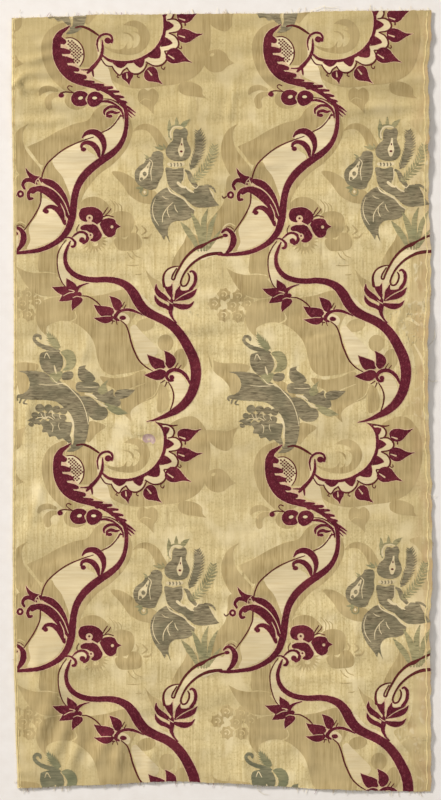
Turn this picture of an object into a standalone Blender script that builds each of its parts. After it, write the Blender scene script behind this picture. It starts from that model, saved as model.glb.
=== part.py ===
"""A loom-width length of figured silk brocade, lying face up on a table.

One woven piece with a selvedge down each side and a raw cut at each end. It lies flat, with
a few soft cockles and lifted stretches of edge where the silk has never pressed out again.
Metres, +Z up, +Y up the length of the pattern, origin under the middle of the cloth's box.
"""

import math

import bpy
from mathutils import Vector

MM = 0.001

# Driving sizes
LOOM_WIDTH = 530 * MM
CUT_LENGTH = 982 * MM
THICKNESS = 1.0 * MM
CELLS_ACROSS = 30
CELLS_ALONG = 56

NODE_NAME = "panel"
SILK_COLOUR = (0.60, 0.48, 0.25, 1.0)
SILK_ROUGHNESS = 0.6

# How far each edge strays outwards from the true rectangle.
# Columns: share of the way along the edge, outward stray in mm.
# The sides run from the foot to the head, the ends from the left to the right.
LEFT_SIDE = (
    (0.00, -5.1),
    (0.09, -2.4),
    (0.17, -0.4),
    (0.25, 0.8),
    (0.36, 1.1),
    (0.50, -0.1),
    (0.63, -0.6),
    (0.76, 0.4),
    (0.91, 2.0),
    (1.00, 2.0),
)
RIGHT_SIDE = (
    (0.00, 1.9),
    (0.12, 1.6),
    (0.22, -0.2),
    (0.27, 3.4),
    (0.38, 2.6),
    (0.44, 0.1),
    (0.50, -2.0),
    (0.58, -2.5),
    (0.63, 1.2),
    (0.68, 1.6),
    (0.76, -1.2),
    (0.88, -0.8),
    (0.93, -2.4),
    (0.96, 1.9),
    (1.00, 1.9),
)
FOOT_END = (
    (0.00, 3.8),
    (0.17, 0.3),
    (0.30, -3.3),
    (0.38, -5.0),
    (0.50, -2.5),
    (0.63, 1.3),
    (0.74, 5.0),
    (0.84, 6.7),
    (1.00, 8.3),
)
HEAD_END = (
    (0.00, -6.0),
    (0.14, -4.2),
    (0.20, -1.7),
    (0.50, -0.6),
    (0.66, 0.1),
    (0.76, 2.9),
    (1.00, 3.7),
)

# Soft ridges where the cloth stands off the table.
# Columns: name, centre x and y in mm, turn of the crest from +X in degrees,
# length and width of the ridge in mm, height in mm.
RIDGES = (
    ("head_left_cockle", -222, 420, 8, 130, 70, 2.2),
    ("head_middle_cockle", 30, 428, -4, 200, 75, 1.6),
    ("head_right_cockle", 170, 372, 6, 210, 80, 2.0),
    ("left_pucker", -262, 398, 78, 120, 60, 2.4),
    ("sprig_fold", -160, 10, -28, 170, 80, 2.0),
    ("middle_slack", 40, 150, 12, 220, 90, 1.6),
    ("heart_slack", 80, -170, -18, 200, 90, 1.4),
    ("foot_left_fold", -212, -352, 74, 190, 75, 3.0),
    ("foot_inner_fold", -128, -428, 66, 170, 70, 2.6),
    ("foot_middle_fold", 30, -430, 82, 150, 80, 1.8),
    ("foot_right_cockle", 190, -392, -30, 180, 85, 2.0),
    ("right_edge_head", 262, 350, 88, 230, 60, 2.6),
    ("right_edge_middle", 262, 60, 90, 260, 60, 3.0),
    ("right_edge_foot", 262, -262, 92, 260, 60, 2.6),
)


def smooth_table(rows, share):
    """The value between two rows, easing from one to the next."""
    for (before, low), (after, high) in zip(rows, rows[1:]):
        if share <= after:
            way = (share - before) / (after - before)
            ease = way * way * (3 - 2 * way)
            return low + (high - low) * ease
    return rows[-1][1]


def outline_place(across, along):
    """Where the cloth's (across, along) shares, each 0 to 1, lie on the table."""
    left = -LOOM_WIDTH / 2 - smooth_table(LEFT_SIDE, along) * MM
    right = LOOM_WIDTH / 2 + smooth_table(RIGHT_SIDE, along) * MM
    foot = -CUT_LENGTH / 2 - smooth_table(FOOT_END, across) * MM
    head = CUT_LENGTH / 2 + smooth_table(HEAD_END, across) * MM
    return left + (right - left) * across, foot + (head - foot) * along


def bump_profile(share):
    """A raised cosine: 1 on the crest, and 0 from a share of 1 outwards."""
    return 0.5 * (1 + math.cos(math.pi * min(abs(share), 1.0)))


def lift(x, y):
    """How high the underside stands off the table at this place."""
    height = 0.0
    for _name, centre_x, centre_y, turn, length, width, crest in RIDGES:
        turned = math.radians(turn)
        off_x, off_y = x - centre_x * MM, y - centre_y * MM
        along = off_x * math.cos(turned) + off_y * math.sin(turned)
        across = off_y * math.cos(turned) - off_x * math.sin(turned)
        share_along = along / (length * MM / 2)
        share_across = across / (width * MM / 2)
        height = max(height, crest * MM * bump_profile(share_along) * bump_profile(share_across))
    return height


def clear_scene():
    for old in list(bpy.data.objects):
        bpy.data.objects.remove(old)


def silk_material():
    material = bpy.data.materials.new("silk")
    material.use_nodes = True
    shader = material.node_tree.nodes["Principled BSDF"]
    shader.inputs["Base Color"].default_value = SILK_COLOUR
    shader.inputs["Roughness"].default_value = SILK_ROUGHNESS
    shader.inputs["Metallic"].default_value = 0.0
    return material


def make_panel(collection):
    """The cloth's underside as a shaped grid, thickened upwards."""
    bpy.ops.mesh.primitive_grid_add(
        x_subdivisions=CELLS_ACROSS, y_subdivisions=CELLS_ALONG, size=1.0, location=(0, 0, 0)
    )
    panel = bpy.context.active_object
    panel.name = NODE_NAME
    for vertex in panel.data.vertices:
        x, y = outline_place(vertex.co.x + 0.5, vertex.co.y + 0.5)
        vertex.co = Vector((x, y, lift(x, y)))
    centre_on_box(panel.data)

    thicken = panel.modifiers.new("thickness", "SOLIDIFY")
    thicken.thickness = THICKNESS
    thicken.offset = 1.0
    panel.data.materials.append(silk_material())
    for owner in panel.users_collection:
        owner.objects.unlink(panel)
    collection.objects.link(panel)
    return panel


def centre_on_box(mesh):
    """Moves the uneven outline so that the origin is under the middle of its box."""
    for axis in (0, 1):
        values = [vertex.co[axis] for vertex in mesh.vertices]
        middle = (min(values) + max(values)) / 2
        for vertex in mesh.vertices:
            vertex.co[axis] -= middle


clear_scene()
brocade = bpy.data.collections.new("brocade_panel")
bpy.context.scene.collection.children.link(brocade)
make_panel(brocade)
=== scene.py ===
"""Looks for the brocade panel: the woven figure, the silk's weave and lie, and its frayed ends.

The figure is given in millimetres on one pattern repeat, x to the right and y down from the head,
and the repeat is then laid in columns and rows over the cloth. Every outline goes into one shared
triangulation of the cloth's face, and each triangle belongs to the colour drawn last there. So the
ground weave and the pattern wefts are raised pieces that meet along crisp woven edges, and all of
them lie over one plain closed sheet.
"""

import math
import random

import bpy
import numpy as np
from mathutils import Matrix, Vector, geometry, noise
from mathutils.bvhtree import BVHTree

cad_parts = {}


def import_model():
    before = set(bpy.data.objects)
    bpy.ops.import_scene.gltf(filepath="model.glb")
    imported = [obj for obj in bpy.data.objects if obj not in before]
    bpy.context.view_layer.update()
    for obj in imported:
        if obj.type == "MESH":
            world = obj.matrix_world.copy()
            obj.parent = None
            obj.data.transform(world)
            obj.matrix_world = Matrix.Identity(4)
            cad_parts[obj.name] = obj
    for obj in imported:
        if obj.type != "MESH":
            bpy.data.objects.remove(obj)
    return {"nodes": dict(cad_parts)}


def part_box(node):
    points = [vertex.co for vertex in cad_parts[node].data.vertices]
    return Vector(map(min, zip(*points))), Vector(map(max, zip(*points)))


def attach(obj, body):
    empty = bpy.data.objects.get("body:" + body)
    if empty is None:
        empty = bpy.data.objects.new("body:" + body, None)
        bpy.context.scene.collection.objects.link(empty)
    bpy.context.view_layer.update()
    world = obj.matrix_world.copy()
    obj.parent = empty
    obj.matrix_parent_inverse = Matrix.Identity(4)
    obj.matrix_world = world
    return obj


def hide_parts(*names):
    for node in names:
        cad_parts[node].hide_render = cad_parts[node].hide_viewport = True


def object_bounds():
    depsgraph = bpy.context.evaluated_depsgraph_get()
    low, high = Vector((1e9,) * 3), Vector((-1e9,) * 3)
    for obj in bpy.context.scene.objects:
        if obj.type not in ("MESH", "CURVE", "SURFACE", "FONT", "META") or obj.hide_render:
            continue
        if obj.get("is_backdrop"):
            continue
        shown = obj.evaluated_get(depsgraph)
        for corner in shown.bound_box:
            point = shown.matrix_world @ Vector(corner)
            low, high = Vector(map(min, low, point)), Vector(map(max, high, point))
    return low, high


MM = 0.001

# The repeat, in mm
REPEAT_LONG = 533.0
COLUMN_WIDE = 267.4
HEAD_Y = 493.4
FIRST_COLUMN_X = -269.6
COLUMNS = (-1, 0, 1)
ROWS = (-1, 0, 1)

# Heights of the woven layers over the ground weave, in mm
LAYER_HEIGHT = {
    "damask": 0.12,
    "worn": 0.08,
    "lilac": 0.06,
    "blush": 0.12,
    "ivory": 0.16,
    "silver": 0.24,
    "sage": 0.24,
    "crimson": 0.28,
    "outline": 0.22,
    "selvedge": 0.20,
}

# Pitches of points, in mm: over the woven face, over the plain sheet under it, and along outlines
GRID_STEP = 3.8
CORE_STEP = 5.5
FINE_STEP = 1.6
GHOST_STEP = 3.0
RIM_STEP = 2.2
MERGE_WITHIN = 0.02

BLUSH_WIDTH = 0.7

# Where the cloth's edges begin, in mm from its middle: the two sides and the two ends
SIDE_FROM = 255
END_FROM = 478


# ------------------------------------------------------------------ drawing kit (mm)


def catmull(points, closed, step):
    """A smooth curve through the points (rows of any width), sampled about every step mm."""
    rows = np.array(points, dtype=float)
    count = len(rows)
    if count == 2 and not closed:
        return rows
    if closed:
        before, start, end, after = (np.roll(rows, shift, axis=0) for shift in (1, 0, -1, -2))
        pieces = count
    else:
        padded = np.vstack([2 * rows[0] - rows[1], rows, 2 * rows[-1] - rows[-2]])
        before, start, end, after = padded[:-3], padded[1:-2], padded[2:-1], padded[3:]
        pieces = count - 1
    out = []
    for k in range(pieces):
        long = np.hypot(*(end[k] - start[k])[:2])
        steps = max(1, int(math.ceil(long / step)))
        gaps = [
            max(np.hypot(*(b - a)[:2]), 1e-3) ** 0.5
            for a, b in ((before[k], start[k]), (start[k], end[k]), (end[k], after[k]))
        ]
        slope_in = gaps[1] * (
            (start[k] - before[k]) / gaps[0]
            - (end[k] - before[k]) / (gaps[0] + gaps[1])
            + (end[k] - start[k]) / gaps[1]
        )
        slope_out = gaps[1] * (
            (end[k] - start[k]) / gaps[1]
            - (after[k] - start[k]) / (gaps[1] + gaps[2])
            + (after[k] - end[k]) / gaps[2]
        )
        for i in range(steps):
            t = i / steps
            a, b = 2 * t**3 - 3 * t**2 + 1, t**3 - 2 * t**2 + t
            c, d = -2 * t**3 + 3 * t**2, t**3 - t**2
            out.append(a * start[k] + b * slope_in + c * end[k] + d * slope_out)
    if not closed:
        out.append(rows[-1])
    return np.array(out)


def shape(*points, step=FINE_STEP):
    """A closed outline through the points. A point with a third value is a sharp corner."""
    corners = [i for i, point in enumerate(points) if len(point) == 3]
    flat = [point[:2] for point in points]
    if not corners:
        return catmull(flat, True, step)
    runs = []
    for first, last in zip(corners, corners[1:] + [corners[0] + len(flat)]):
        run = [flat[i % len(flat)] for i in range(first, last + 1)]
        runs.append(catmull(run, False, step)[:-1])
    return np.vstack(runs)


def ribbon(*points, step=FINE_STEP):
    """A stroke along a smooth curve. Each point is x, y and the stroke's width there."""
    line = catmull(points, False, step)
    along = np.gradient(line[:, :2], axis=0)
    along /= np.maximum(np.hypot(along[:, 0], along[:, 1]), 1e-6)[:, None]
    side = np.stack([-along[:, 1], along[:, 0]], axis=1) * np.maximum(line[:, 2:3], 0.3) / 2
    left, right = line[:, :2] + side, (line[:, :2] - side)[::-1]
    return np.vstack([left, round_end(line[-1], along[-1]), right, round_end(line[0], -along[0])])


def round_end(point, direction):
    """The few points that round off a stroke's end."""
    radius = point[2] / 2
    turns = max(0, int(radius * math.pi / FINE_STEP) - 1)
    heading = math.atan2(direction[1], direction[0])
    angles = [heading + math.pi / 2 - math.pi * (k + 1) / (turns + 1) for k in range(turns)]
    if not angles:
        return np.zeros((0, 2))
    return np.array(
        [[point[0] + radius * math.cos(a), point[1] + radius * math.sin(a)] for a in angles]
    )


def oval(centre, wide, high, turn=0.0, step=FINE_STEP):
    """An ellipse of half-sizes wide and high, turned by turn degrees."""
    count = max(8, int(math.pi * (wide + high) / step))
    lean = math.radians(turn)
    out = []
    for k in range(count):
        angle = 2 * math.pi * k / count
        x, y = wide * math.cos(angle), high * math.sin(angle)
        out.append(
            (
                centre[0] + x * math.cos(lean) - y * math.sin(lean),
                centre[1] + x * math.sin(lean) + y * math.cos(lean),
            )
        )
    return np.array(out)


def leaf(base, tip, width, bend=0.0, fore=0.55, aft=1.15, step=FINE_STEP):
    """A leaf from a round base to a pointed tip, its midrib bent sideways by bend mm."""
    base, tip = np.array(base, dtype=float), np.array(tip, dtype=float)
    axis = tip - base
    long = np.hypot(*axis)
    sideways = np.array([-axis[1], axis[0]]) / long
    fullest = fore / (fore + aft)
    peak = fullest**fore * (1 - fullest) ** aft
    count = max(5, int(long * 1.1 / step))
    near, far = [], []
    for k in range(count + 1):
        t = (k / count) ** 1.25
        spine = base + axis * t + sideways * bend * 4 * t * (1 - t)
        half = width / 2 * t**fore * (1 - t) ** aft / peak
        near.append(spine + sideways * half)
        far.append(spine - sideways * half)
    return np.array(near + far[-2:0:-1])


def spade(base, tip, width, bend=0.0):
    """A heart-bottomed leaf whose sides draw in to a long hollow tip."""
    base, tip = np.array(base, dtype=float), np.array(tip, dtype=float)
    axis = tip - base
    sideways = np.array([-axis[1], axis[0]]) / np.hypot(*axis)
    profile = ((0.03, 0.5), (0.14, 0.88), (0.30, 1.0), (0.46, 0.84), (0.60, 0.52), (0.76, 0.22))
    near, far = [], []
    for along, half in profile:
        spine = base + axis * along + sideways * bend * 4 * along * (1 - along)
        near.append(tuple(spine + sideways * half * width / 2))
        far.append(tuple(spine - sideways * half * width / 2))
    return shape((*base, 0), *near, (*tip, 0), *far[::-1])


def leaflets(points, long, width, pitch, lean=42.0):
    """Pairs of small leaves along a stem. Each point is x, y and the share of the full length."""
    stem = catmull(points, False, pitch)
    along = np.gradient(stem[:, :2], axis=0)
    out = [ribbon(*((x, y, 1.1) for x, y, _ in points))]
    for (x, y, share), (run_x, run_y) in zip(stem, along):
        heading = math.atan2(run_y, run_x)
        for side in (1, -1):
            turn = heading + side * math.radians(lean)
            reach = long * share
            tip = (x + math.cos(turn) * reach, y + math.sin(turn) * reach)
            out.append(leaf((x, y), tip, width * (0.5 + share / 2)))
    return out


def tooth(first, tip, last):
    """A blunt thorn with full sides, standing on the line from first to last."""
    first, tip, last = (np.array(p, dtype=float) for p in (first, tip, last))
    middle = (first + last) / 2
    near, far = (first + tip) * 0.60 - middle * 0.20, (last + tip) * 0.60 - middle * 0.20
    return shape((*first, 0), tuple(near), tuple(tip), tuple(far), (*last, 0))


def plume(points, spikes=1.7, pitch=4.2):
    """A ragged feather: a stroke whose two sides are cut into slanting barbs."""
    line = catmull(points, False, pitch)
    along = np.gradient(line[:, :2], axis=0)
    along /= np.maximum(np.hypot(along[:, 0], along[:, 1]), 1e-6)[:, None]
    across = np.stack([-along[:, 1], along[:, 0]], axis=1)
    sides = []
    for sign in (1, -1):
        side = []
        for k in range(len(line)):
            half = line[k, 2] / 2
            side.append(line[k, :2] + sign * across[k] * half * 0.62)
            barb = line[k, :2] - along[k] * pitch * 0.75
            side.append(barb + sign * across[k] * half * spikes / 1.4)
        sides.append(side if sign == 1 else side[::-1])
    return np.array(sides[0] + sides[1])


def swollen(outline, by):
    """The outline moved outwards by so many mm."""
    before, after = np.roll(outline, 1, axis=0), np.roll(outline, -1, axis=0)
    along = after - before
    along /= np.maximum(np.hypot(along[:, 0], along[:, 1]), 1e-6)[:, None]
    area = np.sum(outline[:, 0] * after[:, 1] - after[:, 0] * outline[:, 1])
    outwards = np.stack([along[:, 1], -along[:, 0]], axis=1) * (1 if area > 0 else -1)
    return outline + outwards * by


class Figure:
    """What one repeat is made of: outlines with a colour each, in the order they are drawn."""

    ORDER = ("ghost", "clear", "fill", "metal", "metal detail", "halo", "figure", "detail", "speck")

    def __init__(self):
        self.outlines = []

    def draw(self, stage, colour, *outlines):
        for outline in outlines:
            self.outlines.append((self.ORDER.index(stage), colour, outline))

    def crimson(self, *outlines):
        """Crimson brocading, with the blush of paler weft that shows round its edge."""
        self.draw("figure", "crimson", *outlines)
        self.draw("halo", "blush", *(swollen(outline, BLUSH_WIDTH) for outline in outlines))

    def thin(self, *outlines):
        self.draw("figure", "outline", *outlines)

    def in_order(self):
        return sorted(self.outlines, key=lambda row: row[0])


# ------------------------------------------------------------------ the figure (mm)


def ghost_figures(figure):
    """The self-coloured damask that lies behind the brocading."""

    def ghost(*outlines):
        figure.draw("ghost", "damask", *outlines)

    def clear(*outlines):
        figure.draw("clear", "ground", *outlines)

    soft = GHOST_STEP
    ghost(
        shape((70, 12), (55, 16), (45, 25), (39.5, 38), (39.5, 52), (43, 66), (50, 80),
              (60, 91), (71, 99), (84, 98), (96, 92), (88, 75), (72, 55), (68, 32), step=soft),
        shape((70, 25), (84, 16), (98, 18), (109, 26), (110, 45), (109, 57), (103, 66),
              (90, 67), (80, 66), (70, 50), step=soft),
        shape((-21, -2), (-17, 10), (-6, 20), (6, 23), (13, 16), (14, 6), (20, -7, 0), (6, -2),
              (-8, -3), step=soft),
        shape((-23, 58), (-17, 49), (-4, 46), (6, 52), (10, 59), (16.5, 64, 0), (8, 68),
              (1, 74), (-12, 75), (-21, 68), step=soft),
        ribbon((36, 103, 3), (39, 98, 7), (48, 95, 7), (58, 97.5, 4), step=soft),
        ribbon((48, 118, 8), (47, 110, 9), (53, 104, 7), (62, 103, 4), step=soft),
        oval((83, 110), 15, 12, step=soft),
        shape((121, 66), (125, 80), (136, 89), (160, 95), (190, 92), (218, 88), (240, 75),
              (251, 50), (254, 20), (248, -4), (232, -20), (208, -14), (198, -4), (199, 20),
              (188, 45), (165, 60), (140, 63), step=soft),
        shape((161, 104), (163, 98), (169, 95), (174, 98), (180, 95), (187, 101), (187, 110),
              (182, 118), (182, 128, 0), (173, 119), (163, 112), step=soft),
        shape((214, 99), (213, 91), (221, 87), (234, 89), (243, 95), (244, 103), (249, 108, 0),
              (235, 106), (222, 104), step=soft),
        shape((143.5, 14, 0), (151, 9.4), (160, 8.4), (169, 12.5), (175, 20), (177, 29),
              (174, 39), (167, 47), (156, 51.5), (144, 51.6), (132, 49.4), (124, 46),
              (117, 40, 0), (126, 43.6), (136, 45.4), (143, 43.6), (148.6, 36.6, 0),
              (147.6, 44), (152, 43.6), (156, 37.6, 0), (155.4, 43.4), (160.4, 41), (164, 34.6),
              (164, 28), (160.6, 24.6), (154.4, 21.4, 0), (162.4, 22.4), (161, 18.4),
              (153.6, 15.4), step=2.2),
        ribbon((144, 24, 0.6), (150, 25, 1.8), (155, 29.5, 2.6), (155.6, 34, 1), step=2.2),
    )
    ghost(
        shape((137, 125), (119, 116), (108, 122), (98, 135), (80, 140), (60, 149), (41, 160),
              (21, 169, 0), (30, 180), (40, 192), (50, 187), (60, 180), (75, 172), (95, 164),
              (118, 152), step=soft),
        shape((22, 140, 0), (9, 148), (2, 160), (0, 176), (5, 192), (14, 206), (30, 213),
              (40, 206), (38, 196), (28, 184), (19, 172), (15, 160), (16, 148), step=soft),
        shape((46, 188), (60, 193), (69, 205), (74, 220), (78, 240), (66, 236), (52, 216),
              (40, 206), step=soft),
        shape((10, 206), (7, 224), (4, 240), (-6, 253), (-15, 264), (-18, 282), (-16, 293),
              (-4, 290), (8, 280), (21, 272), (31, 260), (37, 246), (39, 230), (38, 214),
              (28, 207), step=soft),
        shape((24, 268), (31, 272), (32, 285), (27, 296), (16, 300), (18, 286), step=soft),
        shape((42, 253), (52, 250), (65, 254), (66, 263), (44, 263), step=soft),
        ribbon((149, 128, 2), (151, 148, 9), (144, 168, 10), (129, 185, 11), (108, 200, 13),
               (95, 216, 12), (88, 232, 8), (86, 247, 3), step=soft),
        shape((129, 201), (141, 201), (156, 209), (167, 220), (186, 227), (186, 240),
              (168, 240), (152, 231), (142, 217), step=soft),
        shape((156, 150), (163, 142), (174, 140), (187, 146), (195, 157), (201, 170),
              (190, 174), (182, 158), (172, 148), (161, 148), step=soft),
        shape((88, 251), (90, 240), (98, 234), (110, 233), (120, 238), (130, 252), (110, 258),
              step=soft),
        shape((128, 256), (139, 251), (154, 254), (158, 262), (156, 275), (149, 283),
              (134, 284), (126, 275), step=soft),
        shape((133, 288), (140, 284), (148, 287), (153, 279), (162, 279), (168, 288),
              (166, 298), (152, 301), (139, 300), step=soft),
    )
    ghost(
        star((108, 288), 11, 18, 13, -20, 200),
        shape((40, 301), (52, 297), (61, 293), (62, 310), (63, 334), (38, 328), (37, 312),
              step=soft),
        shape((8, 321, 0), (22, 328), (40, 330), (56, 333), (64, 340), (71, 351), (66, 358),
              (42, 359), (29, 353), (20, 343), (13, 331), step=soft),
        shape((33, 380), (36, 370), (48, 363), (68, 360), (92, 361), (118, 358), (150, 352),
              (163, 372), (152, 398), (156, 425), (163, 443), (170, 452), (160, 456),
              (144, 459), (126, 460), (116, 453), (111, 440), (108, 425), (103, 413), (93, 402),
              (81, 394), (68, 391), (56, 393), (46, 399), (45, 409), (37, 401), (33, 391),
              step=soft),
        shape((114, 463), (132, 465), (151, 462), (169, 455), (176, 462), (186, 470),
              (187, 480), (182, 489), (166, 496), (152, 507), (153, 520, 0), (143, 510),
              (139, 500), (133, 480), (120, 472), step=soft),
        shape((190, 472), (197, 476), (201, 490), (198, 504), (187, 508), (186, 492), step=soft),
        oval((172, 396), 12, 8, -15, step=soft),
        oval((198, 419), 10, 11, step=soft),
        oval((216, 440), 9, 14, 10, step=soft),
        shape((-16, 431, 0), (-10, 440), (2, 444), (20, 444), (36, 448), (30, 458), (24, 468),
              (22, 482), (12, 484), (9, 474), (1, 464), (-8, 457), (-14, 446), step=soft),
        shape((66, 466), (80, 468), (96, 488), (84, 486), (74, 475), step=soft),
        shape((172, 324, 0), (180, 334), (191, 341), (196, 352), (186, 354), (179, 342), step=soft),
        shape((228, 277), (222, 289), (212, 304), (206, 320), (213, 322), (221, 310),
              (233, 298), (244, 292), (240, 282), step=soft),
        shape((100, 520), (112, 522), (120, 526), (108, 536), (98, 547), (93, 540), step=soft),
        ribbon((168, 269, 1.4), (174, 276, 2.4), (168, 281, 1.4), step=soft),
        ribbon((160, 269, 1.6), (163, 274, 2.4), (161, 279, 1), step=soft),
        ribbon((170, 284.5, 2.6), (177, 284, 2.4), (181, 279, 1.4), step=soft),
        ribbon((150, 303, 1), (154, 309, 1.4), (160, 313, 0.8), step=soft),
        ribbon((156, 301, 1), (160, 307, 1.4), (167, 310, 0.8), step=soft),
        ribbon((148, 319.5, 0.6), (156, 320, 1.4), (165, 319.5, 0.6), step=soft),
        ribbon((160, 331.5, 0.8), (165, 331.5, 1.4), (168, 330.5, 0.6), step=soft),
        ribbon((118, 408, 1), (132, 408.5, 1.6), (147, 407.5, 1), step=soft),
    )
    for x, y in ((5, 355), (24, 357), (-7, 367), (17, 369), (36, 367), (5, 382), (24, 383)):
        ghost(star((x, y), 7.2, 9.2, 7, x, x + 360))
        clear(
            ribbon((x - 3.5, y - 3, 0.8), (x + 1, y - 3.6, 1.3), (x + 3.6, y, 1.6),
                   (x + 1, y + 3.2, 0.8), step=2.2),
            oval((x - 1.8, y + 1.2), 1.5, 1.4),
        )
    for offset in (0, 5, 10):
        ghost(ribbon((127 + offset, 236 + offset / 2, 0.8), (133 + offset * 0.8, 244, 1.3),
                     (132 + offset, 255, 0.8), step=soft))
    clear(
        ribbon((2, 279, 1), (5, 269, 1.8), (13, 264.5, 1.8), (20, 268, 1), step=soft),
        ribbon((60, 331, 1), (48, 329, 1.4), (30, 329, 1.4), (16, 324, 1), step=soft),
        ribbon((82, 379, 1), (84, 387, 2), (75, 393, 2), (66, 394, 1), step=soft),
        oval((109, 293), 4, 3),
        oval((-12, 53), 3, 2, -30),
        ribbon((206, 431, 1.2), (210, 425, 1.8), (217, 424, 1), step=soft),
        ribbon((171, 471, 1), (158, 476, 1.8), (144, 482, 1), step=soft),
        ribbon((187, 462, 1.2), (187, 475, 1.6), (182, 486, 1.2), (172, 492, 1), step=soft),
        ribbon((225, 395, 2), (238, 388, 4), (252, 396, 3), step=soft),
        ribbon((246, 420, 2), (256, 440, 3), (257, 455, 1.5), step=soft),
        ribbon((163, 113, 0.8), (170, 108, 1), (178, 110, 0.8), step=soft),
    )
    figure.draw("clear", "damask", oval((169, 103), 1.2, 1.2), oval((175, 106), 1.2, 1.2))


def edge_ghosts():
    """Damask that shows only down the right-hand edge, where the next repeat would begin."""
    soft = GHOST_STEP
    return [
        shape((246, 300), (262, 303), (266, 345), (266, 400), (266, 470), (264, 518),
              (240, 510), (228, 512), (240, 492), (247, 460), (245, 432), (236, 408),
              (222, 390), (218, 381), (235, 372), (243, 345), step=soft),
        shape((238, 138), (250, 134), (266, 138), (266, 200), (256, 200), (256, 160),
              (247, 146), step=soft),
    ]


def star(centre, inner, outer, spikes, start, end):
    """A burst of short points over part of a circle, from start to end degrees."""
    points = []
    for k in range(2 * spikes + 1):
        angle = math.radians(start + (end - start) * k / (2 * spikes))
        radius = outer if k % 2 else inner
        points.append((centre[0] + radius * math.cos(angle), centre[1] + radius * math.sin(angle)))
    return np.array(points)


def ivory_fields(figure):
    """The white silk between the scrolls."""

    def ivory(*outlines):
        figure.draw("fill", "ivory", *outlines)

    soft = 2.4
    ivory(
        shape((104, 69), (110, 64), (116, 54), (120, 63), (124, 70), (128, 86), (134, 97),
              (118, 88), (106, 82), (98, 74), step=soft),
        shape((139, 128), (131, 140), (119, 150), (123, 166), (118, 182), (128, 176),
              (138, 166), (143, 152), (144, 138), step=soft),
        shape((54, 185), (72, 172), (91, 164), (99, 174), (109, 182), (104, 195), (93, 206),
              (84, 220), (79, 236), (73, 222), (66, 206), (57, 195), step=soft),
        shape((24, 272), (35, 254), (40, 235), (52, 238), (64, 246), (70, 262), (66, 276),
              (56, 287), (40, 295), (22, 299), (26, 288), step=soft),
        shape((77, 290), (70, 292), (65, 300), (62, 312), (63, 330), (68, 344), (76, 351),
              (80, 342), (74, 326), (71, 312), (72, 300), step=soft),
        shape((269, 284), (252, 291), (240, 298), (228, 307), (219, 320), (211, 334),
              (207, 345), (207, 356), (213, 346), (219, 334), (229, 320), (241, 309),
              (256, 303), (269, 300), step=soft),
        shape((214, 321), (205, 323), (198, 329), (196, 338), (198, 345), (207, 344),
              (208, 336), (208, 329), step=soft),
        shape((229, 327), (235, 331), (235, 340), (229, 348), (219, 351), (216, 346),
              (226, 340), step=soft),
        shape((184, 388), (176, 380), (168, 366), (166, 356), (174, 364), (184, 374),
              (200, 382), (207, 390), (200, 391), step=soft),
        shape((0, 286), (9, 280), (11, 290), (9, 302), (0, 304), (-12, 307), (-24, 311),
              (-26, 298), (-12, 290), step=soft),
        shape((97, 273), (90, 278), (81, 285), (74, 290), (80, 293), (88, 290), (96, 286),
              (99, 279), step=soft),
    )
    ivory(
        shape((190, -8.6), (199.5, -7.6), (205, -4), (206.6, 1), (204, 5.6), (200, 7.4, 0),
              (209, 8.2), (215, 12.4), (216, 17.4), (212, 21.4), (201.5, 24.4, 0), (208.4, 30),
              (212, 36.4), (211, 42), (205.5, 45.6), (195, 46.8, 0), (197, 57), (190, 64),
              (181, 65.5), (171, 60.5, 0), (168, 70), (161, 75), (152, 74), (148, 68, 0),
              (144, 72), (138, 77), (133, 74), (129, 68, 0), (121, 67), (115, 58, 0), (122, 59),
              (134, 61), (147, 61), (160, 59), (172, 53), (183, 46), (191, 36), (195, 24),
              (196, 12), step=soft),
        shape((95, 155), (106, 154), (114, 161), (117, 172), (113, 182), (111, 172), (104, 164),
              (94, 163), step=soft),
        shape((139, 382), (146, 382), (152, 388), (149, 396), (142, 391), (137, 388), step=soft),
        shape((207, 458), (216, 460), (222, 468), (225, 480), (222, 490), (212, 500),
              (205, 504), (208, 490), (206, 476), (201, 468), step=soft),
        shape((113, 33), (115, 44), (113, 56), (110, 48), (111, 38), step=soft),
        shape((153, 400), (158, 396), (166, 404), (176, 414), (188, 428), (184, 436),
              (175, 436), (176, 446), (170, 446), (163, 436), (157, 418), step=soft),
    )


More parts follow.
